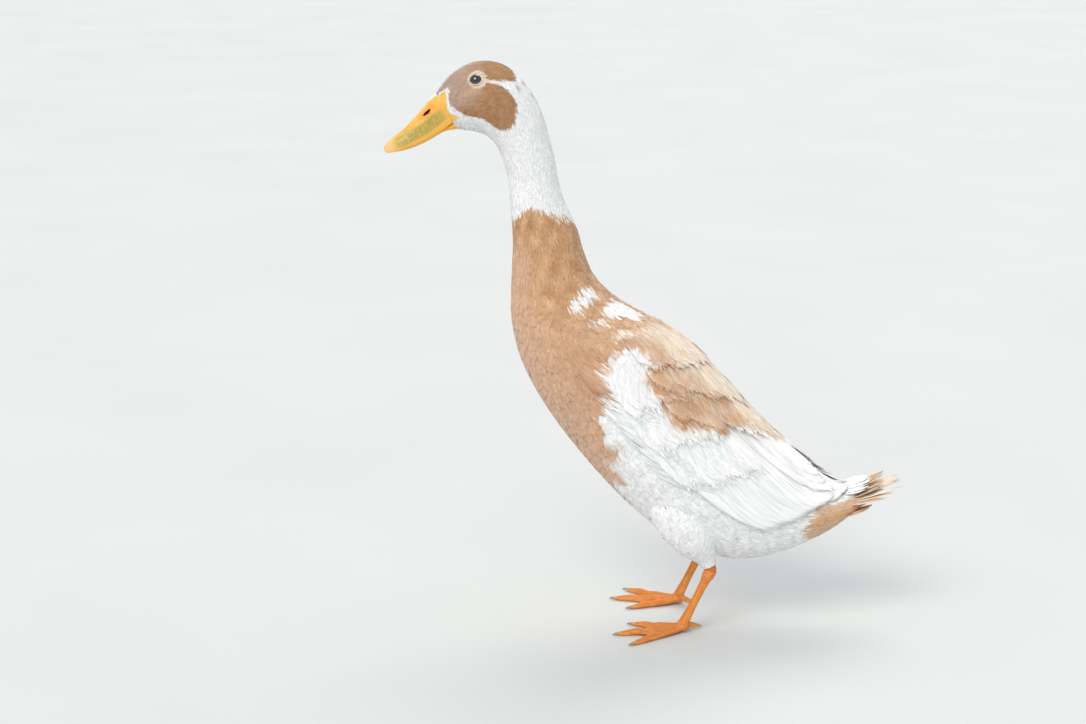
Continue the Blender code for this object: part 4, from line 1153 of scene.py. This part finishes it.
# Lower mandible: top (x, z), bottom (x, z) and half width
LOWER_BILL = np.array((
    (-166.0, 480.4, -166.0, 468.0, 9.4), (-173.4, 476.4, -172.8, 467.2, 10.4),
    (-186.0, 468.8, -184.4, 464.8, 10.0), (-199.0, 461.6, -197.4, 457.4, 9.8),
    (-212.0, 455.6, -210.8, 451.2, 10.2), (-224.0, 451.4, -223.4, 447.6, 9.6),
    (-230.5, 449.4, -230.4, 446.9, 6.0),
))
MOUTH_ANGLE = 117  # where the mouth's edge meets the face, in degrees from the back
NOSTRIL = (-198.2, 6.8, 482.8)
NOSTRIL_HALF = (4.6, 3.8, 1.3)
BILL_SLOPE = math.radians(-41)


def mandible_points(top, edge, half_width, under, angle):
    """Points of rings that arch from edge to edge over the top and are nearly flat below."""
    level, across = np.cos(angle), np.sin(angle)
    tall = np.linalg.norm(top - edge, axis=-1)
    up = (top - edge) / tall[..., None]
    height = np.where(level >= 0, tall * np.abs(level) ** 0.85, -under * np.abs(level))
    sideways = half_width * np.sign(across) * np.abs(across) ** 0.8
    return np.stack((edge[..., 0] + up[..., 0] * height, sideways, edge[..., 1] + up[..., 1] * height), -1)


def upper_bill(at, angle):
    """The upper mandible: -1 to 0 under the face's feathers, 0 to 6 the horn, 6 to 7 the tip."""
    held = np.clip(at, 0, 6)
    rows = smooth_rows(UPPER_BILL, held)
    lip = 0.35 * rising(np.abs(np.degrees(angle)), 68, 80) * (1 - rising(np.abs(np.degrees(angle)), 92, 104))
    lip = lip * rising(at, 0.2, 0.8)
    horn = mandible_points(rows[..., 0:2], rows[..., 2:4], rows[..., 4] + lip, 1.2, angle)
    past = np.clip(at - 6, 0, 1)
    level = rows[..., 3] * 0.5 + rows[..., 1] * 0.5
    middle = np.stack((rows[..., 2] * 0.5 + rows[..., 0] * 0.5, 0 * at, level), -1)
    shrink = np.sqrt(np.clip(1 - past**2, 0, 1))[..., None]
    horn = middle + (BILL_TIP - middle) * past[..., None] + (horn - middle) * shrink
    inside = np.clip(-at, 0, 1.2)
    degrees = np.degrees(angle)
    upper = np.abs(degrees) <= 90
    turned = np.radians(np.clip(degrees, -90, 90) * MOUTH_ANGLE / 90)
    line = np.interp(np.abs(np.degrees(turned)), *zip(*FEATHER_LINE))
    sunk = 0.1 + 1.1 * rising(inside, line - 0.03, line + 0.15)
    on_face = flesh(inside, turned) / MM - outward(flesh, inside, turned) * sunk[..., None]
    corner = flesh(inside, np.full(np.shape(at), math.radians(MOUTH_ANGLE))) / MM
    lip_turn = np.stack((0 * at, corner[..., 1] * np.sin(angle), -1.2 * np.abs(np.cos(angle))), -1)
    below = corner * (1, 0, 1) + lip_turn
    hidden = np.where(upper[..., None], on_face, below)
    share = rising(at, -0.35, 0.55)[..., None]
    return (hidden * (1 - share) + horn * share) * MM


def lower_bill(at, angle):
    rows = smooth_rows(LOWER_BILL, np.clip(at, 0, 6))
    top, low = rows[..., 0:2], rows[..., 2:4]
    middle = np.stack((low[..., 0], (top[..., 1] + low[..., 1]) / 2), -1)
    points = mandible_points(top, middle, rows[..., 4], (top[..., 1] - low[..., 1]) / 2, angle)
    past = np.clip(at - 6, 0, 1)
    centre = np.stack((middle[..., 0] - 2.5 * past, 0 * at, middle[..., 1]), -1)
    return (centre + (points - centre) * np.sqrt(np.clip(1 - past**2, 0, 1))[..., None]) * MM


def cut_away(mesh, cutter):
    whole, tool = finished("whole", mesh), finished("tool", cutter)
    difference = whole.modifiers.new("cut", "BOOLEAN")
    difference.operation = "DIFFERENCE"
    difference.solver = "EXACT"
    difference.object = tool
    graph = bpy.context.evaluated_depsgraph_get()
    result = bpy.data.meshes.new_from_object(whole.evaluated_get(graph))
    for used in (whole, tool):
        bpy.data.objects.remove(used)
    return result


def ball(centre, half_sizes, turn, columns=40, rows=24):
    bm = bmesh.new()
    bmesh.ops.create_uvsphere(bm, u_segments=columns, v_segments=rows, radius=1)
    size = Matrix.Diagonal([half * MM for half in half_sizes]).to_4x4()
    bm.transform(Matrix.Translation(Vector(centre) * MM) @ turn.to_4x4() @ size)
    mesh = bpy.data.meshes.new("ball")
    bm.to_mesh(mesh)
    bm.free()
    return mesh


def graded(mesh, **fields):
    """Stores named shares, one for each point of the mesh."""
    for name, values in fields.items():
        mesh.attributes.new(name, "FLOAT", "POINT").data.foreach_set("value", np.asarray(values, float))


def points_of(mesh):
    points = np.empty(len(mesh.vertices) * 3)
    mesh.vertices.foreach_get("co", points)
    return points.reshape(-1, 3) / MM


def bill_fields(mesh):
    """Where the bill is olive, where its lip is bright, and where its nostrils are, painted dark as shade
    inside them.
    """
    points = points_of(mesh)
    table = smooth_rows(UPPER_BILL, np.linspace(0, 6, 121))
    line = (table[:, 0:2] + table[:, 2:4]) / 2
    off = np.linalg.norm(points[:, None, (0, 2)] - line[None], axis=-1)
    row = off.argmin(axis=1)
    ridge, edge = table[row, 0:2], table[row, 2:4]
    axis = edge - ridge
    down = ((points[:, (0, 2)] - ridge) * axis).sum(-1) / (axis**2).sum(-1)
    along = row / 120
    low = np.interp(along, (0, 0.15, 0.3, 0.5, 0.75, 0.9), (0.45, 0.36, 0.36, 0.20, 0.12, 0.10))
    olive = rising(down, low - 0.16, low + 0.14) * (1 - rising(down, 0.70, 0.98))
    olive = olive * rising(along, -0.02, 0.16) * (1 - rising(along, 0.62, 0.92))
    slope = np.array((math.cos(BILL_SLOPE), -math.sin(BILL_SLOPE)))
    from_pit = points - np.stack((np.full(len(points), NOSTRIL[0]), np.sign(points[:, 1]) * NOSTRIL[1],
                                  np.full(len(points), NOSTRIL[2])), -1)
    long = from_pit[:, 0] * slope[0] + from_pit[:, 2] * slope[1]
    tall = from_pit[:, 0] * -slope[1] + from_pit[:, 2] * slope[0]
    pit = np.sqrt((long / 4.6) ** 2 + (from_pit[:, 1] / 4.2) ** 2 + (tall / 1.3) ** 2)
    graded(mesh, olive=olive, lip=rising(down, 0.78, 0.95), pit=1 - rising(pit, 0.9, 1.12),
           rim=1 - rising(np.abs(pit - 1.6), 0.1, 1.1), tip=rising(along, 0.66, 0.9))


def bill_material():
    made, tree, shader = new_material("bill_horn", 0.38, Coat_Weight=0.15, Coat_Roughness=0.3)
    place = tree.nodes.new("ShaderNodeTexCoord")
    speckle = wired(tree, "TexNoise", place.outputs["Object"])
    speckle.inputs["Scale"].default_value = 520
    speckle.inputs["Detail"].default_value = 5
    cloud = wired(tree, "TexNoise", place.outputs["Object"])
    cloud.inputs["Scale"].default_value = 110
    olive, lip, pit, rim, tip = (
        wired(tree, "Attribute", attribute_name=name).outputs["Fac"]
        for name in ("olive", "lip", "pit", "rim", "tip")
    )
    warm = tinted(tree, ranged(tree, cloud.outputs["Fac"], 0.3, 0.7), (*screen(232, 166, 58), 1),
                  (*screen(240, 186, 84), 1))
    green = tinted(tree, ranged(tree, speckle.outputs["Fac"], 0.36, 0.64), (*screen(148, 136, 58), 1),
                   (*screen(190, 166, 76), 1))
    uneven = maths(tree, "MULTIPLY", maths(tree, "SUBTRACT", speckle.outputs["Fac"], 0.5), 1.7)
    grains = maths(tree, "ADD", olive, uneven)
    colour = tinted(tree, ranged(tree, grains, 0.1, 1.0, 0.0, 0.95), warm, green)
    colour = tinted(tree, maths(tree, "MULTIPLY", lip, 0.8), colour, (*screen(240, 176, 62), 1))
    colour = tinted(tree, maths(tree, "MULTIPLY", rim, 0.8), colour, (*screen(234, 148, 52), 1))
    colour = tinted(tree, maths(tree, "MULTIPLY", tip, 0.75), colour, (*screen(236, 196, 146), 1))
    # Dark brown in the nostrils: painted shade inside their hollows.
    colour = tinted(tree, pit, colour, (*screen(112, 56, 24), 1))
    tree.links.new(colour, shader.inputs["Base Color"])
    tree.links.new(ranged(tree, speckle.outputs["Fac"], 0.3, 0.7, 0.34, 0.48), shader.inputs["Roughness"])
    bump = tree.nodes.new("ShaderNodeBump")
    bump.inputs["Strength"].default_value = 0.25
    bump.inputs["Distance"].default_value = 0.15 * MM
    tree.links.new(speckle.outputs["Fac"], bump.inputs["Height"])
    tree.links.new(bump.outputs["Normal"], shader.inputs["Normal"])
    return made


def nail_material():
    made, tree, shader = new_material("nail_horn", 0.32, Coat_Weight=0.2, Coat_Roughness=0.25)
    place = tree.nodes.new("ShaderNodeTexCoord")
    grain = wired(tree, "TexNoise", place.outputs["Object"])
    grain.inputs["Scale"].default_value = 300
    colour = tinted(tree, ranged(tree, grain.outputs["Fac"], 0.3, 0.7), (*screen(226, 180, 140), 1),
                    (*screen(240, 208, 170), 1))
    tree.links.new(colour, shader.inputs["Base Color"])
    return made


level = Matrix.Identity(3)
sloped = Matrix.Rotation(BILL_SLOPE, 3, "Y")
upper_mesh = tube(upper_bill, -1.1, 6.999, 130, 72, lambda at: 0 * at)[0]
for side in (-1, 1):
    upper_mesh = cut_away(upper_mesh, ball((NOSTRIL[0], side * NOSTRIL[1], NOSTRIL[2]), NOSTRIL_HALF, sloped))
lower_mesh = tube(lower_bill, 0.0, 6.999, 80, 48, lambda at: 0 * at)[0]
nail_mesh = ball((-232.3, 0.0, 452.5), (5.6, 4.3, 3.7), sloped)
horn = bill_material()
for name, mesh, look, slot, nodes in (
    ("upper_mandible", upper_mesh, horn, "bill_horn", ["bill_upper"]),
    ("lower_mandible", lower_mesh, horn, "bill_horn", ["bill_lower"]),
    ("nail", nail_mesh, nail_material(), "nail_horn", ["bill_nail"]),
):
    bill_fields(mesh)
    mesh.shade_smooth()
    piece = finished(name, mesh, look)
    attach(piece, "root")
    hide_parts(*nodes)


# Short pale feathers of the forehead run down over the root of the bill's ridge in a point.
draw = np.random.default_rng(80)
at = draw.uniform(-0.80, 0.25, 900)
angle = draw.uniform(-1, 1, 900) * np.radians(np.interp(at, (-0.80, -0.4, 0.0, 0.25), (3, 17, 27, 30)))
brow = lambda at, angle: upper_bill(-at, angle)
tip = ahead_of(brow, at, angle, draw.uniform(3.0, 4.6, 900), draw.normal(0, 8, 900))
half_width = draw.uniform(0.35, 0.55, 900)
laid = lay(brow, tuft_shape(), (at, angle), tip, half_width, (-0.3, draw.uniform(0.1, 0.35, 900)), 0.18)
mauve = 0.75 * rising(np.abs(np.degrees(angle)), 4, 22) * rising(at, -0.7, 0)
tints = blend(np.broadcast_to(WHITE, (900, 3)), CROWN_MAUVE, mauve)
mesh = feather_mesh("brow_tufts", tuft_shape(), laid, np.clip(tints * draw.normal(1, 0.03, (900, 1)), 0, 1),
                    draw.random(900), skin_patches(at - 1.0, angle, -3.0, 31.0), 0.75)
piece = finished("brow_tufts", mesh, tuft_material)
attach(piece, "root")


# The eyes: a glossy ball with a dark brown iris round a black pupil, seated deep in the head
# behind a thin, pale, bare rim of both lids.
def eye_material():
    made, tree, shader = new_material("eye", 0.12, Coat_Weight=1.0, Coat_Roughness=0.02)
    gaze = wired(tree, "Attribute", attribute_name="gaze").outputs["Fac"]
    place = tree.nodes.new("ShaderNodeTexCoord")
    rays = wired(tree, "TexNoise", place.outputs["Object"])
    rays.inputs["Scale"].default_value = 900
    share = ranged(tree, rays.outputs["Fac"], 0.3, 0.7)
    iris = tinted(tree, share, (*screen(22, 21, 32), 1), (*screen(38, 35, 48), 1))
    colour = tinted(tree, ranged(tree, gaze, 24, 28), (*screen(6, 7, 12), 1), iris)
    colour = tinted(tree, ranged(tree, gaze, 42, 50), colour, (*screen(14, 14, 20), 1))
    tree.links.new(colour, shader.inputs["Base Color"])
    return made


def lid_material():
    made, tree, shader = new_material("lid_skin", 0.55)
    place = tree.nodes.new("ShaderNodeTexCoord")
    folds = wired(tree, "TexNoise", place.outputs["Object"])
    folds.inputs["Scale"].default_value = 700
    colour = tinted(tree, ranged(tree, folds.outputs["Fac"], 0.3, 0.7), (*screen(188, 168, 140), 1),
                    (*screen(222, 206, 182), 1))
    tree.links.new(colour, shader.inputs["Base Color"])
    bump = tree.nodes.new("ShaderNodeBump")
    bump.inputs["Strength"].default_value = 0.5
    bump.inputs["Distance"].default_value = 0.2 * MM
    tree.links.new(folds.outputs["Fac"], bump.inputs["Height"])
    tree.links.new(bump.outputs["Normal"], shader.inputs["Normal"])
    return made


def lid_ring(side):
    """The rim of both lids: a flattened ring, drawn to a slight point at each corner."""
    bm = bmesh.new()
    bmesh.ops.create_circle(bm, segments=14, radius=0.85)
    bm.transform(Matrix.Translation((5.75, 0, 0)) @ Matrix.Rotation(math.pi / 2, 4, "X")
                 @ Matrix.Diagonal((1.0, 0.85, 1, 1)))
    bmesh.ops.spin(bm, geom=bm.edges[:], cent=(0, 0, 0), axis=(0, 0, 1), steps=96, angle=math.tau,
                   use_merge=True)
    bmesh.ops.remove_doubles(bm, verts=bm.verts, dist=0.001)
    for vertex in bm.verts:
        round_eye = math.atan2(vertex.co.y, vertex.co.x)
        vertex.co.y *= 0.84
        vertex.co.x *= 1 + 0.05 * abs(math.cos(round_eye)) ** 12
        vertex.co.z -= 0.35 * math.cos(round_eye) ** 2
    outer = Vector(eye_outwards[side])
    turn = outer.to_track_quat("Z", "Y").to_matrix()
    place = Vector(eye_centres[side]) + outer * 3.85 * MM
    bm.transform(Matrix.Translation(place) @ turn.to_4x4() @ Matrix.Scale(MM, 4))
    bm.normal_update()
    bmesh.ops.recalc_face_normals(bm, faces=bm.faces)
    mesh = bpy.data.meshes.new("lids")
    bm.to_mesh(mesh)
    bm.free()
    return mesh


eye_look, lid_look = eye_material(), lid_material()
for label, side in (("left", -1), ("right", 1)):
    outer = Vector(eye_outwards[side])
    ball_mesh = ball(eye_centres[side] / MM, (6.4,) * 3, outer.to_track_quat("Z", "Y").to_matrix(), 64, 48)
    toward = unit(points_of(ball_mesh) * MM - eye_centres[side]) @ eye_outwards[side]
    graded(ball_mesh, gaze=np.degrees(np.arccos(np.clip(toward, -1, 1))))
    for name, mesh, look in (
        (f"eyeball_{label}", ball_mesh, eye_look), (f"lids_{label}", lid_ring(side), lid_look),
    ):
        mesh.shade_smooth()
        piece = finished(name, mesh, look)
        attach(piece, "root")
        if look is eye_look:
            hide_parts(f"eye_{label}")


# The bare legs: slender shanks with broad scutes in front, and feet of three long toes joined by
# webs, with a short hind toe. The hide is orange and finely netted. Each toe ends in a blunt claw.
HOCK = np.array((60.0, 61.0))
ANKLE = np.array((36.0, 9.5))
SHANK = (
    (0.0, 5.7, 5.1), (0.11, 5.6, 5.0), (0.25, 4.2, 3.7), (0.62, 3.8, 3.3), (0.88, 4.5, 4.0), (1.04, 5.2, 4.7),
)
# Each toe: name, angle outwards in degrees, length to the claw, thickness
TOES = (("inner", -24.0, 47.0, 3.5), ("middle", 2.0, 60.0, 3.9), ("outer", 27.0, 56.0, 3.6))
TOE_TURN = 7.0
# Along each toe: share of its length, height of its middle, radius
TOE_ROWS = (
    (0.0, 8.0, 4.4), (0.16, 4.6, 3.9), (0.46, 3.5, 3.75), (0.62, 2.8, 3.05), (0.76, 3.1, 3.35),
    (0.90, 2.4, 2.7), (1.0, 1.95, 2.2),
)
HIND_TOE = ((0.0, 0.5, 8.0, 3.0), (4.0, 2.6, 6.8, 2.7), (8.0, 4.0, 5.6, 2.4), (13.3, 5.5, 4.2, 1.8))


def limb_form(rows):
    """A round limb along a line: rows of x, y, z, upper-and-lower radius, side radius."""
    rows = np.array(rows, float)

    def form(at, angle):
        here = smooth_rows(rows, at)
        heading = unit(smooth_rows(rows, at + 0.05)[..., :3] - smooth_rows(rows, at - 0.05)[..., :3])
        sideways = unit(np.cross(heading, (0, 0, 1)))
        up = np.cross(sideways, heading)
        angle = np.asarray(angle)[..., None]
        around = up * here[..., 3:4] * np.cos(angle) + sideways * here[..., 4:5] * np.sin(angle)
        return MM * (here[..., :3] + around)

    return form


def toe_rows(side, degrees, length, thick):
    turn = math.radians(degrees + TOE_TURN)
    heading = np.array((-math.cos(turn), side * math.sin(turn), 0.0))
    start = np.array((ANKLE[0], side * LEG_Y, 0.0))
    return [
        (*(start + heading * length * share + (0, 0, high)), radius * thick / 3.9, radius * thick / 3.9)
        for share, high, radius in TOE_ROWS
    ], heading


def web_sheet(first, second):
    """The skin between two toes, its front edge curving back."""
    bm = bmesh.new()
    bmesh.ops.create_grid(bm, x_segments=16, y_segments=20, size=1)
    ends = [(np.array(rows[0][:3]), np.array(rows[-1][:3])) for rows in (first, second)]
    for vertex in bm.verts:
        across, share = (vertex.co.x + 1) / 2, (vertex.co.y + 1) / 2
        reach = (0.08 + 0.85 * share) * (1 - 0.30 * math.sin(across * math.pi) * share)
        sides = [start + (end - start) * reach for start, end in ends]
        point = sides[0] + (sides[1] - sides[0]) * across
        point[2] = 3.8 - 2.2 * share + 0.5 * math.sin(across * math.pi) * (1 - share)
        vertex.co = point * MM
    bm.normal_update()
    bmesh.ops.solidify(bm, geom=bm.faces[:], thickness=1.15 * MM)
    mesh = bpy.data.meshes.new("web")
    bm.to_mesh(mesh)
    bm.free()
    return mesh


def merged(meshes, voxel, passes):
    """Overlapping closed meshes made one smooth skin, standing on the floor."""
    bm = bmesh.new()
    for mesh in meshes:
        bm.from_mesh(mesh)
    rough = bpy.data.meshes.new("rough")
    bm.to_mesh(rough)
    bm.free()
    whole = finished("whole", rough)
    remesh = whole.modifiers.new("skin", "REMESH")
    remesh.mode = "VOXEL"
    remesh.voxel_size = voxel * MM
    graph = bpy.context.evaluated_depsgraph_get()
    mesh = bpy.data.meshes.new_from_object(whole.evaluated_get(graph))
    bpy.data.objects.remove(whole)
    bm = bmesh.new()
    bm.from_mesh(mesh)
    for _ in range(passes):
        bmesh.ops.smooth_vert(bm, verts=bm.verts, factor=0.5,
                              use_axis_x=True, use_axis_y=True, use_axis_z=True)
    for vertex in bm.verts:
        vertex.co.z = max(vertex.co.z, 0.0)
    bm.to_mesh(mesh)
    bm.free()
    return mesh


def hide_fields(mesh, lines, shank_line):
    """How far along a toe or the shank each point is, and where the broad scutes and webs are."""
    points = points_of(mesh)
    normals = np.empty(len(mesh.vertices) * 3)
    mesh.vertex_normals.foreach_get("vector", normals)
    normals = normals.reshape(-1, 3)
    nearest = np.full(len(points), 99.0)
    along = np.zeros(len(points))
    facing = np.zeros(len(points))
    for start, end, radius, face in lines + [(*shank_line, 4.4, np.array((-0.9, 0.0, 0.42)))]:
        axis = end - start
        share = np.clip(((points - start) @ axis) / (axis @ axis), 0, 1)
        off = np.linalg.norm(points - start - share[:, None] * axis, axis=-1) - radius
        closer = off < nearest
        nearest = np.where(closer, off, nearest)
        along = np.where(closer, share * np.linalg.norm(axis), along)
        facing = np.where(closer, normals @ face, facing)
    web = rising(nearest, 0.4, 1.8)
    graded(mesh, along=along, scute=rising(facing, 0.25, 0.7) * (1 - web), web=web)


def hide_material():
    made, tree, shader = new_material("leg_skin", 0.5)
    place = tree.nodes.new("ShaderNodeTexCoord")
    along, scute, web = (
        wired(tree, "Attribute", attribute_name=name).outputs["Fac"] for name in ("along", "scute", "web")
    )
    cells = tree.nodes.new("ShaderNodeTexVoronoi")
    cells.feature = "DISTANCE_TO_EDGE"
    cells.inputs["Scale"].default_value = 720
    tree.links.new(place.outputs["Object"], cells.inputs["Vector"])
    netted = ranged(tree, cells.outputs["Distance"], 0.0, 0.16)
    ring = maths(tree, "ABSOLUTE", maths(tree, "SINE", maths(tree, "MULTIPLY", along, math.pi / 2.1)))
    plates = ranged(tree, ring, 0.0, 0.45)
    relief = wired(tree, "Mix", scute, netted, plates).outputs[0]
    cloud = wired(tree, "TexNoise", place.outputs["Object"])
    cloud.inputs["Scale"].default_value = 160
    orange = tinted(tree, ranged(tree, cloud.outputs["Fac"], 0.3, 0.7), (*screen(222, 128, 44), 1),
                    (*screen(236, 154, 66), 1))
    orange = tinted(tree, maths(tree, "MULTIPLY", web, 0.45), orange, (*screen(206, 112, 44), 1))
    dark = tinted(tree, ranged(tree, relief, 0.0, 1.0, 0.45, 0.0), orange, (*screen(158, 84, 36), 1))
    tree.links.new(dark, shader.inputs["Base Color"])
    tree.links.new(ranged(tree, relief, 0.0, 1.0, 0.62, 0.42), shader.inputs["Roughness"])
    bump = tree.nodes.new("ShaderNodeBump")
    bump.inputs["Strength"].default_value = 0.7
    bump.inputs["Distance"].default_value = 0.3 * MM
    tree.links.new(relief, bump.inputs["Height"])
    tree.links.new(bump.outputs["Normal"], shader.inputs["Normal"])
    return made


def claw_material():
    made, tree, shader = new_material("claw_horn", 0.35, Coat_Weight=0.2)
    along = wired(tree, "Attribute", attribute_name="along").outputs["Fac"]
    place = tree.nodes.new("ShaderNodeTexCoord")
    grain = wired(tree, "TexNoise", place.outputs["Object"])
    grain.inputs["Scale"].default_value = 800
    base = tinted(tree, ranged(tree, grain.outputs["Fac"], 0.3, 0.7), (*screen(176, 128, 84), 1),
                  (*screen(204, 160, 112), 1))
    colour = tinted(tree, ranged(tree, along, 0.3, 1.0, 0.0, 0.7), base, (*screen(112, 84, 62), 1))
    tree.links.new(colour, shader.inputs["Base Color"])
    return made


def claw(name, tip, heading, length, radius, look, node):
    """A short blunt point, bending down a little, with its root inside the toe."""
    rows = []
    for share in (-0.25, 0.0, 0.35, 0.7, 0.9, 1.0):
        size = radius * (1 - 0.82 * max(share, 0) ** 1.6)
        bend = 0.55 * (math.sin(max(share, 0) * math.pi) - max(share, 0))
        point = tip + heading * length * share
        rows.append((point[0], point[1], max(point[2] + bend, size + 0.1), size, size * 0.8))
    mesh, *_ = tube(limb_form(rows), 0, 5, 22, 16, lambda at: 0 * at)
    along = ((points_of(mesh) - tip) @ heading) / length
    graded(mesh, along=along)
    mesh.shade_smooth()
    piece = finished(name, mesh, look)
    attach(piece, "root")
    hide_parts(node)


hide_look, claw_look = hide_material(), claw_material()
for label, side in (("left", -1), ("right", 1)):
    at_floor = lambda line: np.array((line[0], side * LEG_Y, line[1]))
    hock, ankle = at_floor(HOCK), at_floor(ANKLE)
    rows = [(56.8, side * LEG_Y, 70.5, 4.6, 4.2), (58.4, side * LEG_Y, 66.0, 5.5, 5.0)]
    rows += [(*(hock + (ankle - hock) * share), fore, wide) for share, fore, wide in SHANK]
    shapes = [tube(limb_form(rows), 0, len(rows) - 1, 60, 32, lambda at: 0 * at)[0]]
    lines, toes = [], []
    for name, degrees, length, thick in TOES:
        toe, heading = toe_rows(side, degrees, length, thick)
        toes.append((name, toe, heading))
        shapes.append(tube(limb_form(toe), 0, len(toe) - 1, 60, 24, lambda at: 0 * at)[0])
        lines.append((np.array(toe[0][:3]), np.array(toe[-1][:3]), 3.0, np.array((0.0, 0.0, 1.0))))
    shapes += [web_sheet(toes[number][1], toes[number + 1][1]) for number in (0, 1)]
    hind = [
        (ankle[0] + back, side * LEG_Y - side * inward, high, size, size)
        for back, inward, high, size in HIND_TOE
    ]
    shapes.append(tube(limb_form(hind), 0, 3, 24, 20, lambda at: 0 * at)[0])
    shapes.append(ball(ankle + (-0.5, 0, -3.8), (6.2, 5.6, 4.5), level, 32, 20))
    lines.append((np.array(hind[0][:3]), np.array(hind[-1][:3]), 2.2, np.array((0.3, 0.0, 0.95))))
    mesh = merged(shapes, 0.55, 3)
    hide_fields(mesh, lines, (hock, ankle))
    mesh.shade_smooth()
    piece = finished(f"bare_leg_{label}", mesh, hide_look)
    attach(piece, "root")
    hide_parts(f"shank_{label}", f"foot_{label}")
    for name, toe, heading in toes:
        claw(f"toe_claw_{label}_{name}", np.array(toe[-1][:3]), heading, 7.7, 1.9, claw_look,
             f"claw_{label}_{name}")
    back, end = np.array(hind[-2][:3]), np.array(hind[-1][:3])
    claw(f"toe_claw_{label}_hind", end, unit(end - back), 4.6, 1.4, claw_look, f"claw_{label}_hind")
